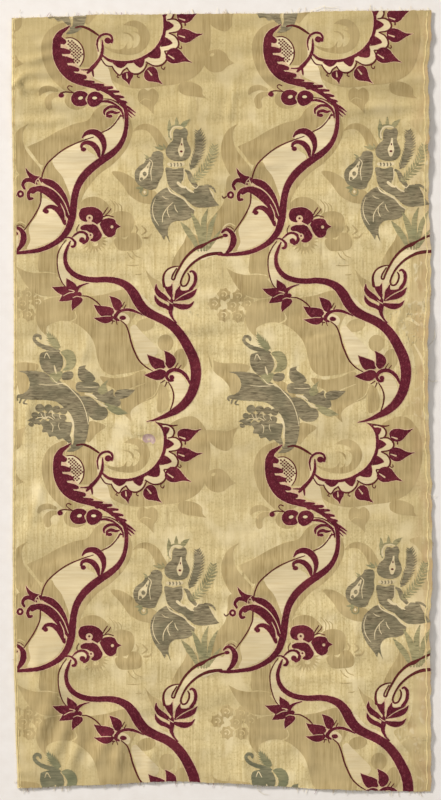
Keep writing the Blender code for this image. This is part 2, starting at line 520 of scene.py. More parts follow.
def sun_arc(figure):
    """The half sun: a curved band with thorns, a scalloped border and five spade leaves."""
    figure.crimson(
        ribbon((117, 53, 2.2), (124, 58.5, 3.6), (134, 61, 3.6), (147, 61.5, 3.4),
               (159, 59.5, 3.6), (171, 54.5, 4.2), (182, 47, 4.4), (190, 37, 4.4), (195, 25, 4),
               (196.5, 13, 4), (195, 0, 3.6), (190, -8, 2.6), (183, -13, 0.6)),
        tooth((192, -6), (201.5, -5), (196.5, 5)),
        tooth((196.5, 8), (207.5, 15), (196.5, 22)),
        tooth((195, 29), (205, 37.5), (190, 42)),
        tooth((189, 42), (188.5, 56), (174, 55)),
        tooth((170, 57), (165, 68.5), (155, 61.5)),
        tooth((148, 62.5), (139, 69), (129, 62.5)),
    )
    figure.thin(
        ribbon((184, -12, 1.2), (195, -10, 1.6), (206, -8, 2), (212, -9, 1.2)),
        ribbon((190, -9.6, 1.6), (200, -8.6, 2), (206, -4.6, 2.2), (207.8, 1, 2.2),
               (205, 6.4, 2), (199.4, 7.6, 1.6)),
        ribbon((200, 7.4, 1.6), (209.6, 7, 2), (216, 11.6, 2.2), (217.4, 17.4, 2.2),
               (213, 22.4, 2), (201, 24.6, 1.6)),
        ribbon((201, 24.6, 1.6), (209, 29, 2), (213, 36, 2.2), (212, 42.6, 2.2), (206, 46.6, 2),
               (195, 47.5, 1.6)),
        ribbon((195, 47.5, 1.6), (198, 57, 2.1), (192, 65, 2.1), (182, 66.5, 2), (171, 61, 1.6)),
        ribbon((173, 63, 1.6), (169, 71, 2), (161, 76.5, 2), (152, 75, 2), (146.5, 68, 1.6)),
        ribbon((147, 69, 1.6), (142.5, 72, 1.9), (138, 78, 2), (132, 73, 1.9), (128, 66, 1.6)),
        ribbon((129, 67, 1.4), (121, 65.5, 1.8), (113.5, 55, 1.4)),
        ribbon((215, 13, 1.2), (218, 11, 1.2), (222, 12, 1.6), (222, 15, 2.2)),
        ribbon((212, 40, 1.2), (214, 44.5, 1.2), (217, 44, 1.6), (216, 41, 1)),
        ribbon((192, 65, 1.2), (191, 69, 1.2), (194, 71, 1.6), (195.5, 67.5, 1)),
        ribbon((162, 76, 1.2), (160, 80, 1.2), (163, 81, 1.8)),
        ribbon((137, 77, 1.2), (134, 80, 1.2), (137, 81, 1.6)),
    )
    for base, tip, width, bend, glint in (
        ((212, 5), (243, -5), 17, 2.0, (6, 2)),
        ((211, 27), (245, 26), 18, 2.0, (6, 2)),
        ((197, 51), (230, 63), 20, -1.0, (6, 4)),
        ((172, 70), (193, 90), 19, 1.5, (4, 5)),
        ((146.5, 73.5), (150, 91.5), 15, 0.0, (0.5, 5)),
    ):
        figure.crimson(spade(base, tip, width, bend))
        near = (base[0] + glint[0] * 0.35, base[1] + glint[1] * 0.35)
        far = (base[0] + glint[0] * 1.6, base[1] + glint[1] * 1.6)
        figure.draw("detail", "blush", ribbon((*near, 1.2), (*far, 2.2)))


def crescent(figure):
    """The big C at the head of the repeat: a fingered crescent round a chequered bud."""
    figure.draw("fill", "ivory", shape((70, 31), (78, 31), (85, 35), (90.5, 42), (92.5, 51),
                                       (91, 60), (87, 67), (80, 64), (72, 50), (68, 40)))
    figure.draw("fill", "blush", shape((62, 38), (70, 40), (76, 50), (82, 62), (92, 73),
                                       (100, 74), (104, 84), (122, 90), (140, 102), (146, 112),
                                       (130, 102), (108, 92), (88, 82), (74, 68), (64, 54)))
    for row in range(17):
        for column in range(6):
            x = 71.5 + column * 4.4 + (row % 2) * 2.2
            y = 32.5 + row * 2.1
            in_arc = ((x - 66) / 25.5) ** 2 + ((y - 50) / 18.0) ** 2 < 1
            if in_arc and x > 72 + max(0.0, y - 36) * 0.32:
                dot = np.array([(x - 1.6, y), (x, y - 1.5), (x + 1.6, y), (x, y + 1.5)])
                figure.draw("figure", "outline", dot)
    figure.crimson(
        ribbon((76, 15, 1), (70, 19.5, 4), (63, 25, 7), (59.5, 33, 10), (58.5, 44, 10.5),
               (60.5, 56, 12), (66, 67, 13.5), (74, 77, 13), (85, 84.5, 10.5), (97, 89.5, 7),
               (110, 93.5, 5.5), (122, 99, 5.5), (132, 106, 5), (140, 113, 4.6),
               (146, 121, 4.6)),
        ribbon((60, 33, 8), (64, 34, 9), (67.5, 35.5, 7)),
        ribbon((60, 47, 8), (68, 47.5, 7.6), (74, 48.5, 5.4)),
        ribbon((62, 58, 9), (71, 58.5, 8.4), (77.5, 59.5, 5.6)),
        ribbon((68, 69, 8), (77, 69.5, 7.4), (84.5, 71, 5.2)),
        ribbon((76, 79, 8), (85, 79, 7), (93.5, 80.2, 5.6)),
        ribbon((88, 86.5, 4), (97, 86, 3.8), (105, 86.5, 2.8)),
        ribbon((98, 91, 4.5), (108, 90, 4), (117, 90.2, 2.8)),
        ribbon((110, 95, 6), (119, 94.3, 5), (128, 93.6, 3.6)),
        ribbon((122, 99.5, 4.5), (129, 98.8, 4), (136.5, 99, 2.8)),
        ribbon((130, 105, 5), (136, 105.2, 4.2), (142.5, 106, 3)),
        ribbon((136, 111, 5), (141, 111.6, 4.2), (146.5, 112.6, 3)),
        ribbon((111.5, 48, 1.2), (110, 38, 2.2), (112, 31, 2.6), (116, 27, 2.8),
               (121.5, 25.5, 2.8), (127, 27, 2.8), (129.4, 31.5, 2.8), (128.5, 36, 3.2)),
        oval((123.8, 34), 4.4, 4.0),
        ribbon((116.5, 33, 1.2), (117, 42, 3), (116, 50, 4), (113, 57, 4), (108.5, 63, 4.4),
               (104, 68, 5.2), (100.5, 71.5, 4.6), (96.5, 76, 2)),
        ribbon((103, 70, 3), (104, 76, 2.4), (104.5, 80, 1)),
        ribbon((102, 70.5, 3), (96, 71.2, 2), (89, 71.2, 1)),
    )
    figure.thin(
        ribbon((83, 17.5, 2.2), (90, 16.3, 2.8), (98, 18.5, 3.2), (105, 22.5, 3.2),
               (112.5, 27.5, 2)),
        ribbon((70, 31, 1.1), (78, 30.6, 1.4), (85.5, 34.5, 1.6), (91, 41.5, 1.7),
               (93.3, 51, 1.8), (91.8, 60, 1.5), (87.5, 67, 1.1)),
    )


def berry_spray(figure):
    """The two round flowers under the crescent, their tendrils, and the tufted scroll."""
    figure.crimson(
        shape((76, 107), (79, 101), (85, 98), (92, 98.5), (97, 102), (94, 108), (96.5, 114.5),
              (90, 117.5), (81, 116.5), (77, 112)),
        shape((96.5, 109), (98.5, 102.5), (104, 99), (111, 99.5), (116.5, 104), (116.5, 110),
              (111, 116), (103, 118.5), (98, 115)),
        oval((63.5, 103.6), 3.5, 3.2),
        ribbon((112.5, 112.5, 1), (120, 111.2, 3.2), (128, 113, 3), (136, 117.5, 1.8),
               (142, 123, 1.4)),
        ribbon((119, 129, 1.6), (119, 123.5, 3.4), (124, 119, 3.6), (131, 118, 3.4),
               (138, 121, 3), (142.5, 127, 2.4), (143.5, 134, 1.4)),
        ribbon((122.5, 131, 2.6), (123, 126.8, 3.4), (128, 124.6, 4.2), (134, 126, 3.4),
               (139, 125, 1.4)),
        oval((126, 130.4), 3.6, 2.2),
        ribbon((137, 135, 1), (139, 130.5, 2), (143, 130, 2)),
        ribbon((146, 117, 3), (152, 121, 3), (159, 126, 1)),
        ribbon((146, 121, 3), (152, 125, 2.8), (158, 130, 0.9)),
        ribbon((147, 124, 2.4), (150, 128, 2), (154, 132, 0.8)),
    )
    figure.thin(
        ribbon((82, 101, 1.2), (75, 99.8, 1.5), (68, 99.4, 1.6), (62.5, 101, 2)),
        ribbon((79, 100, 0.9), (74, 97, 1.2), (71.5, 93.5, 1.3), (74, 91.5, 1.4), (78, 93, 1.6)),
        ribbon((117, 108, 0.8), (126, 109, 1.5), (134, 112.5, 1.6), (141, 118, 1)),
    )
    figure.draw("detail", "ivory", oval((88, 107), 3.2, 2.1, -15), oval((106, 107), 3.2, 1.9))


def first_scroll(figure):
    """The long stem that swings down to the left, with its crescent curls."""
    figure.crimson(
        ribbon((144, 115, 4.5), (147, 128, 5), (147.5, 142, 5.2), (145, 156, 5.8),
               (139, 168, 6.8), (129, 178, 8.2), (117, 186, 9.2), (105, 195, 9.8),
               (94, 206, 9.6), (86, 219, 8.8), (82, 233, 8.6), (80, 248, 9.2), (78, 262, 9.2),
               (73, 276, 8.2), (64, 287, 7.2), (52, 295, 6.2), (38, 300.5, 5.6), (22, 303, 4.6),
               (6, 304, 3.8), (-2, 303.5, 3.4)),
        ribbon((91, 158, 1.2), (96, 152, 5), (104, 149.8, 7), (112, 153, 8.2), (118, 161, 7.6),
               (119.5, 171, 5.2), (116, 183, 1.5)),
        ribbon((90.5, 170, 3), (91.5, 166, 4), (97, 163.5, 5), (105, 166, 6.6), (111, 173, 6.6),
               (113.5, 182, 3)),
        oval((93.4, 172.4), 3.4, 2.8),
    )
    figure.thin(
        ribbon((140, 128, 1), (134, 138, 1.6), (126, 146, 1.8), (116, 151, 1.4)),
        ribbon((106, 156.5, 1.2), (90, 162, 1.6), (72, 170, 1.7), (57, 181, 1.8),
               (47, 191, 1.8), (42, 202, 1.8), (39.5, 215, 1.8)),
        ribbon((39.5, 226, 1.8), (38.8, 240, 1.8), (33.5, 252, 1.8), (26, 264, 1.7),
               (18, 275, 1.2)),
    )


def left_foliage(figure):
    """The leaves and curls that grow back from the first stem."""
    figure.crimson(
        ribbon((20, 196, 0.5), (24, 203, 4.2), (30, 208.5, 7), (37, 210, 6.6)),
        ribbon((42, 211.5, 5), (46, 213, 7.4), (53, 216, 9), (61, 223, 9), (67.5, 232.5, 8),
               (72, 243, 6), (75, 255, 3)),
        ribbon((29, 226.5, 5), (35, 222.5, 7), (43, 223.8, 9.4), (53, 229.5, 11.4),
               (62, 238, 11.4), (69, 248, 9), (75.5, 260, 4)),
        ribbon((36, 221.5, 5), (28, 223, 4.6), (23.5, 229, 4.2), (25, 235, 4), (29, 234.5, 3)),
        ribbon((34, 216, 3), (27, 211.5, 5.2), (20.5, 211.5, 5), (16.5, 217, 4), (19, 222.5, 3)),
        oval((13.6, 229), 4.5, 4.7),
        ribbon((43, 250.5, 3.5), (47, 246, 4), (54, 245.5, 5.6), (61, 250, 7), (66, 257, 7),
               (69.5, 267, 4)),
        oval((46, 251.3), 3.2, 2.9),
        ribbon((2.5, 276, 2.4), (8, 272, 4), (14, 275, 5.2), (17.3, 282, 7.4), (16.5, 290, 7.6),
               (12, 298, 5), (6, 303.5, 1.6)),
        oval((7, 279.4), 3.4, 2.4),
    )
    figure.thin(
        ribbon((9, 230, 1.4), (5, 233, 1.6), (2.5, 230, 1.2)),
        ribbon((18, 272, 1.2), (13, 268.5, 1), (8, 269.5, 0.8)),
    )
    figure.draw(
        "detail", "blush",
        ribbon((36, 209, 1), (40, 216, 1.5), (49, 219.5, 1.5), (60, 227.5, 1.4), (69, 240, 1.3),
               (75, 256, 1)),
        ribbon((64, 241, 0.8), (69, 252, 1.4), (70, 262, 1.2)),
        ribbon((33, 219, 1), (33, 213, 1.2), (38, 207.5, 1)),
        oval((13.6, 229), 1.7, 1.9),
        ribbon((6, 277, 1), (10, 276, 1.8), (12, 281, 1.4), (11.5, 289, 0.8)),
    )


def three_flower(figure):
    """The three-lobed flower on the right of the stem."""
    figure.crimson(
        shape((90, 262), (87.5, 256), (90, 248.5), (97, 246), (107, 246), (114, 249.5),
              (118.5, 256), (117, 263), (111, 268, 0), (104, 264.5), (96, 264.5)),
        ribbon((92.5, 272.5, 6), (99, 271.5, 10), (107, 275, 12.4), (111.5, 282, 12),
               (108, 287, 7), (104, 288, 3)),
        shape((114, 268, 0), (118, 262), (126, 260), (133, 261.5), (136, 267),
              (141.5, 270.5, 0), (136, 274), (134, 281), (127, 284.5), (121, 281)),
        ribbon((79, 285, 1), (83, 281, 2.2), (89, 277.8, 2.8), (95, 278.6, 3.2), (99, 283, 3.8),
               (98, 289, 4.2), (94, 291.5, 4)),
        oval((92, 288), 3.6, 3.6),
        ribbon((70, 285.5, 1.2), (75, 284.5, 2), (80, 287, 2.6), (83.6, 291.5, 3.4),
               (82, 296, 3.6), (79, 296.5, 3)),
    )
    figure.thin(
        ribbon((118, 258.5, 1.4), (124, 256.5, 1.4), (132, 258.5, 1.2)),
        ribbon((118, 256, 1.4), (121, 251, 1.6), (124.5, 246, 1.1)),
        ribbon((121, 256.5, 1), (126, 251.5, 1.3), (128.5, 247.5, 1)),
        ribbon((88, 268, 0.8), (85, 274, 1), (86, 279, 0.8)),
    )
    figure.draw(
        "detail", "blush",
        oval((101, 259.8), 4.4, 4.2),
        np.array([(98.6, 261), (103.4, 261), (104.6, 268), (97.4, 268)]),
        ribbon((89, 270.5, 1), (95, 267.5, 1.6), (104, 266.4, 1.6), (110, 268.5, 1.4),
               (118, 280, 1.4)),
        oval((102.8, 281.6), 3.2, 3.2),
        oval((130, 271), 2.1, 2.1),
    )
    figure.draw("speck", "outline", oval((101, 259.5), 1.5, 1.5), oval((102.8, 281.6), 1.3, 1.3))


def second_scroll(figure):
    """The great S-shaped stem on the right, with its thin companion line."""
    figure.crimson(
        ribbon((77.5, 289, 1.4), (74, 297, 3.4), (71, 307, 4.4), (72, 318, 5.2), (77, 327, 6.2),
               (85, 333.5, 6.6), (96, 337.5, 6.8), (110, 339, 7), (124, 338.5, 7.4),
               (137, 340.5, 8.4), (149, 346.5, 10.4), (157, 356, 12.4), (163, 367, 12.8),
               (171, 377, 12.6), (183, 384, 11.2), (197, 390.5, 11.2), (209, 399, 11.8),
               (219, 411, 12.2), (227, 425, 12.8), (233, 439, 13.2), (235.5, 454, 13.2),
               (234, 469, 12.6), (229, 484, 11.6), (220, 497, 10.6), (208, 506.5, 9),
               (195, 513, 5.6), (183, 517.5, 3), (172, 520, 0.6)),
    )
    figure.thin(
        ribbon((72, 287.5, 1.1), (66, 296, 1.4), (61.5, 306, 1.5), (61, 318, 1.5),
               (63, 331, 1.6), (67, 342, 1.4), (74, 351, 1.2)),
        ribbon((91, 359.5, 1.2), (98, 360, 1.6), (106, 364, 1.9), (112, 369, 1.9), (116, 374, 1)),
        ribbon((140, 390.5, 1.2), (147, 397, 1.8), (151, 407, 2), (154, 419, 2.2),
               (158, 430, 2.2), (164, 442, 1.9), (172, 450, 1.8), (181, 455.5, 1.2)),
        ribbon((200, 469, 1.2), (204, 476, 1.7), (206.5, 485, 1.9), (205.5, 495, 1.8),
               (201, 508, 1.2)),
    )


def petal_groups(figure):
    """Three groups of pointed petals, each round a curl that comes off the S-shaped stem."""
    figure.crimson(
        leaf((83.5, 351), (72.5, 336.5), 11, -1.5),
        leaf((80, 352.5), (53.5, 347.5), 12, -2.5),
        leaf((83.5, 357), (62.5, 366.5), 13, 1.5),
        leaf((91, 361.5), (79, 378.5), 11, 2.5),
        ribbon((101, 343, 1), (93, 345.5, 2.2), (87, 349, 4.2), (84, 354, 5.4), (85, 359, 4.4),
               (89, 359, 3.6)),
        oval((88.6, 357.2), 2.9, 2.9),
        leaf((138.5, 378), (126, 359.5), 12.5, 2.5),
        leaf((132, 381), (106, 370.5), 15, -3.5),
        leaf((131.5, 387), (105.5, 387.5), 9.5, -3.0),
        ribbon((169, 384, 1), (160, 379.5, 3.2), (150, 377, 3.8), (141, 378.5, 3.6),
               (135, 383, 4.6), (133.5, 388, 4.6), (138, 391, 2.6)),
        oval((143, 387.6), 4.2, 2.8),
        leaf((197.5, 450), (174.5, 434), 15, -3.0),
        leaf((203.5, 451.5), (195.5, 428.5), 13.5, 4.0),
        leaf((198, 457.5), (169.5, 460.5), 13, -2.0),
        ribbon((228, 472, 2), (223, 461.5, 4.4), (216, 455, 4.8), (208, 453.5, 4.8),
               (201, 456.5, 4.6), (198, 462, 4), (201, 467, 3.6), (206, 467, 3)),
        oval((204.8, 463.4), 3.2, 3.2),
    )
    for root, end in (
        ((131, 391), (129, 396)), ((134.5, 391), (136, 396.5)), ((141.5, 374), (145.5, 367)),
        ((144.5, 375.5), (147.5, 370.5)), ((209, 451.5), (213.5, 444.5)),
        ((213, 452.5), (217.5, 447)),
        ((196, 467), (190, 471)), ((198.5, 469), (195.5, 475.5)), ((133, 392), (127, 391.5)),
    ):
        figure.thin(ribbon((*root, 1.5), (*end, 0.9)))
    figure.draw(
        "detail", "blush",
        ribbon((75, 351.5, 1), (80, 352.5, 1.2), (83, 354, 1)),
        ribbon((68, 359.5, 0.9), (76, 355.5, 1.2), (82, 355, 1)),
        ribbon((80, 362, 0.9), (85, 360, 1.2), (90, 361, 1)),
        ribbon((131, 377, 1), (134, 380, 1.4), (130, 384, 1.2)),
        ribbon((128, 385.5, 0.9), (121, 385.5, 1), (114, 386.5, 0.7)),
        ribbon((196, 440, 0.9), (196.8, 447, 1.3), (199.5, 452, 1.2)),
        ribbon((181, 455, 0.9), (190, 452.3, 1.2), (197, 453.5, 1.2)),
    )


def lotus(figure):
    """The banner from the next column, and the flower of lance leaves that it ends in."""
    figure.thin(
        ribbon((277, 279, 1.5), (269, 281.5, 2.4), (260, 285, 3.2), (252, 289, 2.7),
               (244, 293.5, 5.1), (238, 296, 4.1), (230, 302, 3.2), (222, 311, 2.9),
               (216, 321, 2.7), (211, 331, 2.4), (208.5, 337, 2.4), (206, 336.5, 2.2),
               (207, 331, 2.0), (210, 326, 1.7), (212.5, 322, 1.5)),
        ribbon((215, 319.5, 1.2), (207, 321, 2.0), (200, 325, 2.2), (196, 331, 2.6),
               (195, 338, 3.2), (196, 346, 3.9)),
        ribbon((269, 302, 3.9), (258, 303, 4.4), (250, 305, 3.9), (240, 310, 3.2),
               (231, 317, 2.9), (224, 325, 2.7), (219, 334, 2.4), (217, 341, 2.4),
               (219, 345, 2.4), (223, 344.5, 2.4), (227, 339, 2.4), (228, 332, 2.4),
               (226, 328, 1.5)),
    )
    figure.crimson(
        ribbon((228.5, 327, 1.8), (231.5, 325.5, 3), (235, 328.5, 4), (236, 336, 4.2),
               (234, 343, 4.2), (229, 349, 3.4)),
        shape((194, 342, 0), (198, 346), (203, 346), (207, 341.5, 0), (207.5, 351),
              (206, 363, 0), (199.5, 354)),
        shape((216.5, 343.5, 0), (217, 350), (224, 350.5), (231, 347), (235, 341, 0),
              (233, 348.5), (222, 355), (208.5, 363, 0), (210.5, 352)),
        ribbon((186, 343, 0.5), (186, 350, 5), (190, 356, 7.2), (197, 361, 6.2), (205, 367.5, 2)),
        ribbon((184, 357.5, 0.5), (186, 364, 4.6), (191, 369, 5.8), (198, 372, 5.4), (205, 377, 4)),
        ribbon((237.5, 348, 0.5), (232, 355, 6), (224, 359, 7.2), (215, 361.5, 5.4),
               (208, 364.5, 2)),
        ribbon((234, 364.5, 0.5), (229, 370, 4.4), (221, 372, 7.4), (212, 370.5, 5.4),
               (205, 368, 2)),
        ribbon((205.5, 363, 4), (205, 371, 6), (204, 379, 5), (207, 387, 2.6), (212, 393, 2)),
    )
    figure.draw(
        "detail", "blush",
        ribbon((206.8, 356, 0.9), (207.4, 348, 1.6), (207, 340, 1.6)),
        ribbon((200, 364, 0.8), (204, 367, 1.2), (207, 368.5, 1)),
        ribbon((210, 363.8, 0.8), (218, 358, 1.1), (227, 353.5, 0.8)),
        ribbon((207, 367, 0.8), (214, 366.5, 1.2), (224, 367, 0.8)),
    )


def fruit_bouquet(figure):
    """The metal-thread bouquet: two cut gourds, two ears, a hooked pod and a drooping leaf."""
    metal, detail = "metal", "metal detail"
    figure.draw(
        metal, "silver",
        shape((207, 151), (210, 146.5), (216, 147.5), (222.5, 145.5), (225.5, 152), (224, 159),
              (226, 165), (229, 173), (227.5, 181), (222, 186), (212, 187.2), (202.5, 184.5),
              (197.6, 179), (198, 171), (202, 165.5), (206.5, 161)),
        shape((179, 181), (181, 176.5), (187, 174.5), (193, 176.5), (194.5, 183), (193.5, 190),
              (194.5, 197), (192.5, 206), (188.5, 214), (185, 221.5), (178, 223.5), (171, 222),
              (165, 219), (160, 214), (157.8, 207), (159, 199.5), (163.5, 194), (170, 189.5),
              (173, 184.5), (176, 183)),
        shape((197.6, 195.5), (209, 197), (219.5, 195.5), (220.4, 209), (217, 214.5),
              (224.5, 221.5), (231, 226.5), (236, 220), (242, 217.4), (251.5, 219),
              (255.4, 226.5), (261, 235.5), (266.5, 242, 0), (255, 244), (242, 245),
              (234.5, 243.5), (226, 237), (220.5, 231.5), (210.5, 226.5), (201.5, 218.5),
              (198.4, 207)),
        ribbon((221.8, 198, 2), (226.5, 202, 5), (230, 210, 6.4), (237, 219, 4)),
        ribbon((247, 217.5, 2), (253, 218, 3), (259, 221.5, 2.4), (261.5, 226, 1)),
        shape((199.6, 220.6), (210.5, 229), (221, 235.5), (228, 243), (234.5, 248),
              (232.5, 256), (224, 261), (209, 263), (202.5, 269.5), (201.5, 278),
              (204.5, 290, 0), (199, 281), (197, 287, 0), (192, 279), (185.5, 270.5),
              (180.5, 260.5), (178.5, 247.5), (181.5, 235), (189.5, 226)),
        ribbon((228.5, 197.5, 2), (234, 187, 6.5), (239, 173, 7.6), (240.5, 160, 5.4),
               (239, 148, 1.5)),
        *leaflets(((229, 196, 0.7), (234, 187, 1.0), (239, 174, 1.1), (240.5, 161, 1.0),
                   (239, 151, 0.6)), 10.5, 2.3, 4.3, 42),
    )
    figure.draw(
        metal, "sage",
        leaf((202, 151), (201.4, 134), 5.4, 0.6),
        leaf((211.6, 143.5), (211.2, 131), 4.6),
        leaf((217.5, 145), (228.5, 134.5), 6.4, -0.8),
        ribbon((201.5, 157, 1.4), (201.8, 149.5, 1.8), (206, 143, 2), (214, 141.8, 2),
               (221, 144.4, 1.4)),
        ribbon((204.4, 160.5, 1.4), (202.6, 155.5, 1.8), (203.6, 150, 1.2)),
        leaf((195, 172.5), (182, 169), 3.6),
        leaf((194.6, 172), (187.5, 165.5), 3.0),
        leaf((197, 172), (194.5, 165), 2.6),
        leaf((176, 183), (169.4, 178.5), 2.4), leaf((175, 184), (170.6, 183.4), 2.0),
        leaf((169, 221), (158.6, 221.6), 4), leaf((169, 222), (163, 227.5), 3.4),
        ribbon((166.5, 224, 1.6), (166.4, 229, 1.8), (170.6, 231.4, 1.8), (174.6, 229, 1.8),
               (174.4, 223.6, 1.6)),
        *leaflets(((230.5, 213, 0.8), (240, 204, 1.1), (249.5, 193, 1.1), (256, 180, 1.1),
                   (258.6, 169, 0.7)), 9.0, 2.5, 5.6, 46),
        *sheaf_leaves(),
    )
    figure.draw(
        detail, "ivory",
        ribbon((218.4, 158, 2), (217.8, 165, 3.6), (217, 173, 8.4), (216.8, 179.4, 5)),
        ribbon((177.4, 188, 2), (173.6, 196, 5), (169.4, 204, 10.5), (166, 210.5, 5)),
        ribbon((176.6, 184.5, 0.8), (180.5, 189, 1.2), (178.4, 200, 1.2), (179.5, 212, 0.8)),
        ribbon((204.4, 158, 2.4), (203.4, 151.5, 2), (207.4, 145, 2), (214, 143.6, 2),
               (220, 145, 1.2)),
        ribbon((201, 191, 4), (209.5, 192, 5.6), (219.6, 190.6, 4)),
        ribbon((220.4, 197, 1.2), (220.8, 206, 1.4), (219.4, 213.6, 0.8)),
        ribbon((199.8, 219.4, 1.2), (203.6, 225.4, 1.8), (212, 230, 1.8), (222, 235.4, 1.8),
               (229, 243.4, 1.8), (236.5, 248.6, 1.2)),
        ribbon((213, 214.4, 3.6), (218, 218.6, 3.4), (222.6, 220.4, 1.6)),
        ribbon((222, 218.6, 1.4), (228, 223.6, 2.2), (234, 226.4, 1.4)),
        ribbon((231, 218.4, 1), (236, 221, 1.4), (240, 217, 1)),
        ribbon((254, 222.6, 1), (257.6, 227, 1.6), (259.6, 232.4, 1)),
        ribbon((194.6, 264.6, 0.8), (195.2, 255, 1.2), (200.6, 245.6, 1.2), (207.4, 239, 0.8)),
        ribbon((203.6, 258, 0.8), (200.6, 250.6, 1.2), (201.4, 245.4, 0.8)),
        ribbon((209.4, 242, 0.8), (211, 247.4, 1.2), (214, 251.4, 0.8)),
        ribbon((184.6, 234, 0.6), (181.4, 245, 1.1), (183.4, 258, 1.1), (190, 268.6, 0.6)),
        ribbon((193.4, 231, 0.6), (197.4, 234, 1), (202, 235, 0.6)),
        oval((170.6, 226.4), 1.6, 2.0),
    )
    figure.draw(
        "speck", "outline",
        oval((217, 175), 1.9, 1.4), oval((217.6, 166), 0.9, 1.6),
    )
    figure.draw(
        "speck", "silver",
        oval((170.6, 203.5), 2.6, 3.0), oval((166.6, 210), 2.2, 2.4),
        oval((174.8, 194.4), 0.9, 1.8, 20),
        *(ribbon((x, 189.4, 1.2), (x + 1.2, 191.6, 1.8), (x + 0.4, 194, 1.2))
          for x in (203.4, 207.6, 211.8, 216)),
    )


def sheaf_leaves():
    """The fan of long curved leaves at the bouquet's foot."""
    return [
        ribbon((240, 299, 2.4), (234.5, 286, 6.8), (226.5, 274, 7.4), (218, 263.5, 1)),
        ribbon((244, 299, 2.4), (243, 283, 6.6), (238.5, 266.5, 7.4), (231, 251, 1)),
        ribbon((247.4, 299, 2.4), (248, 280, 5.6), (247.4, 262, 6.8), (252, 246, 1)),
        ribbon((250.4, 299, 2.4), (254, 280, 5.4), (257.4, 265.5, 6), (264.4, 251, 1)),
        ribbon((252.6, 298, 2), (259.5, 286, 5), (268.5, 273.5, 1)),
    ]


